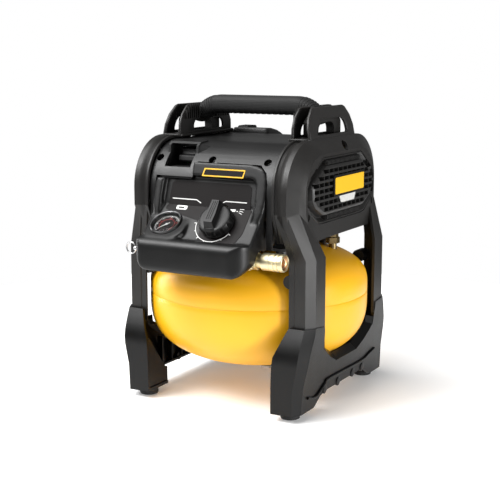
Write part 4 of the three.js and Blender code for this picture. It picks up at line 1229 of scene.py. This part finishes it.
# CAD pieces that keep their shape: a finish of their own, and edges rounded by this many mm
KEEP = {
    "foot": {"tank_mount_front_right": 0.8, "tank_mount_front_left": 0.8,
             "tank_mount_rear_right": 0.8, "tank_mount_rear_left": 0.8},
    "brass": {"regulator_bonnet": 0.4, "safety_valve": 0.4, "drain_valve": 0.6},
    "old_brass": {"check_valve": 0.5},
    "cast": {"manifold": 0.8, "supply_tube": 0, "discharge_tube": 0, "crankcase": 0.8,
             "piston": 0.4, "cylinder_barrel": 0.3, "cylinder_head": 0.6, "connecting_rod": 0.4},
    "steel": {"safety_valve_stem": 0.2, "drain_lever": 0.6, "motor_rotor": 0.3},
    "sheet": {"pump_plate": 0.6, "motor_bracket": 0.5},
    "iron": {"motor_stator": 0.6},
    "nylon": {"drive_gear": 0.3},
    "dark": {"cooling_fan": 0.3, "battery_latch": 0.8, "pressure_switch": 0.8},
    "dock": {"battery_dock": 0.6},
    "board": {"control_board": 0.4},
}
for look, widths in KEEP.items():
    for node, width in widths.items():
        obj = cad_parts[node]
        obj.data.materials.clear()
        obj.data.materials.append(M[look])
        for poly in obj.data.polygons:
            poly.material_index = 0
        if width:
            modifier(obj, "BEVEL", width=width * MM, segments=2, limit_method="ANGLE",
                     angle_limit=38 * DEG, harden_normals=False)


# ---- stage, light, camera

def stage():
    disc = bmesh.new()
    bmesh.ops.create_circle(disc, cap_ends=True, segments=96, radius=0.85)
    mesh = bpy.data.meshes.new("floor")
    disc.to_mesh(mesh)
    disc.free()
    look = Look("floor", Roughness=0.9, Emission_Color=(1, 1, 1, 1), Emission_Strength=0.16)
    look.colour(look.noise(2, 2, 0.5), grey(0.9), grey(0.93), 0.35, 0.65)
    mesh.materials.append(look.material)
    new_object("floor", mesh)


def face_along(obj, direction):
    obj.rotation_euler = direction.to_track_quat("-Z", "Y").to_euler()


def sun_light(direction, strength, angle):
    data = bpy.data.lights.new("sun", "SUN")
    data.energy = strength
    data.angle = angle * DEG
    face_along(new_object("sun", data), Vector(direction))


def area_light(name, place, target, size, power):
    data = bpy.data.lights.new(name, "AREA")
    data.shape = "RECTANGLE"
    data.size, data.size_y = size
    data.energy = power
    obj = new_object(name, data)
    obj.location = place
    face_along(obj, Vector(target) - Vector(place))


def surroundings(light, backdrop):
    """White all round: dim to the object, bright behind it."""
    world = bpy.data.worlds.new("world")
    world.use_nodes = True
    nodes, links = world.node_tree.nodes, world.node_tree.links
    mix = nodes.new("ShaderNodeMixShader")
    ray = nodes.new("ShaderNodeLightPath")
    links.new(ray.outputs["Is Camera Ray"], mix.inputs[0])
    for socket, strength in ((1, light), (2, backdrop)):
        node = nodes.new("ShaderNodeBackground")
        node.inputs["Color"].default_value = (1, 1, 1, 1)
        node.inputs["Strength"].default_value = strength
        links.new(node.outputs[0], mix.inputs[socket])
    links.new(mix.outputs[0], nodes["World Output"].inputs["Surface"])
    bpy.context.scene.world = world


def camera(azimuth, pitch, place, lens):
    """Azimuth is to the right of the front, pitch is downward, both in degrees."""
    az, down = azimuth * DEG, pitch * DEG
    data = bpy.data.cameras.new("camera")
    data.lens = lens
    data.sensor_width = 36
    data.clip_start = 0.05
    obj = new_object("camera", data)
    obj.location = place
    face_along(obj, Vector((-sin(az) * cos(down), cos(az) * cos(down), -sin(down))))
    bpy.context.scene.camera = obj


stage()
sun_light((0.4, 0.42, -1), 3.55, 55)
area_light("top", (-0.75, -0.95, 1.35), (0, 0, 0.3), (0.9, 0.5), 14)
area_light("key", (-1.5, -1.9, 1.5), (0, 0, 0.15), (1.2, 0.9), 14)
area_light("right strip", (1.85, -0.3, 0.35), (0, 0, 0.15), (0.34, 0.9), 28)
area_light("left strip", (-1.9, 0.0, 0.45), (0, 0, 0.25), (0.3, 1.2), 14)
surroundings(0.2, 1.0)
bpy.context.scene.view_settings.view_transform = "Standard"
camera(29.39, 10.19, (0.74581, -1.34976 + CENTRE_Y * MM, 0.47155), 79.92)
bpy.context.view_layer.update()
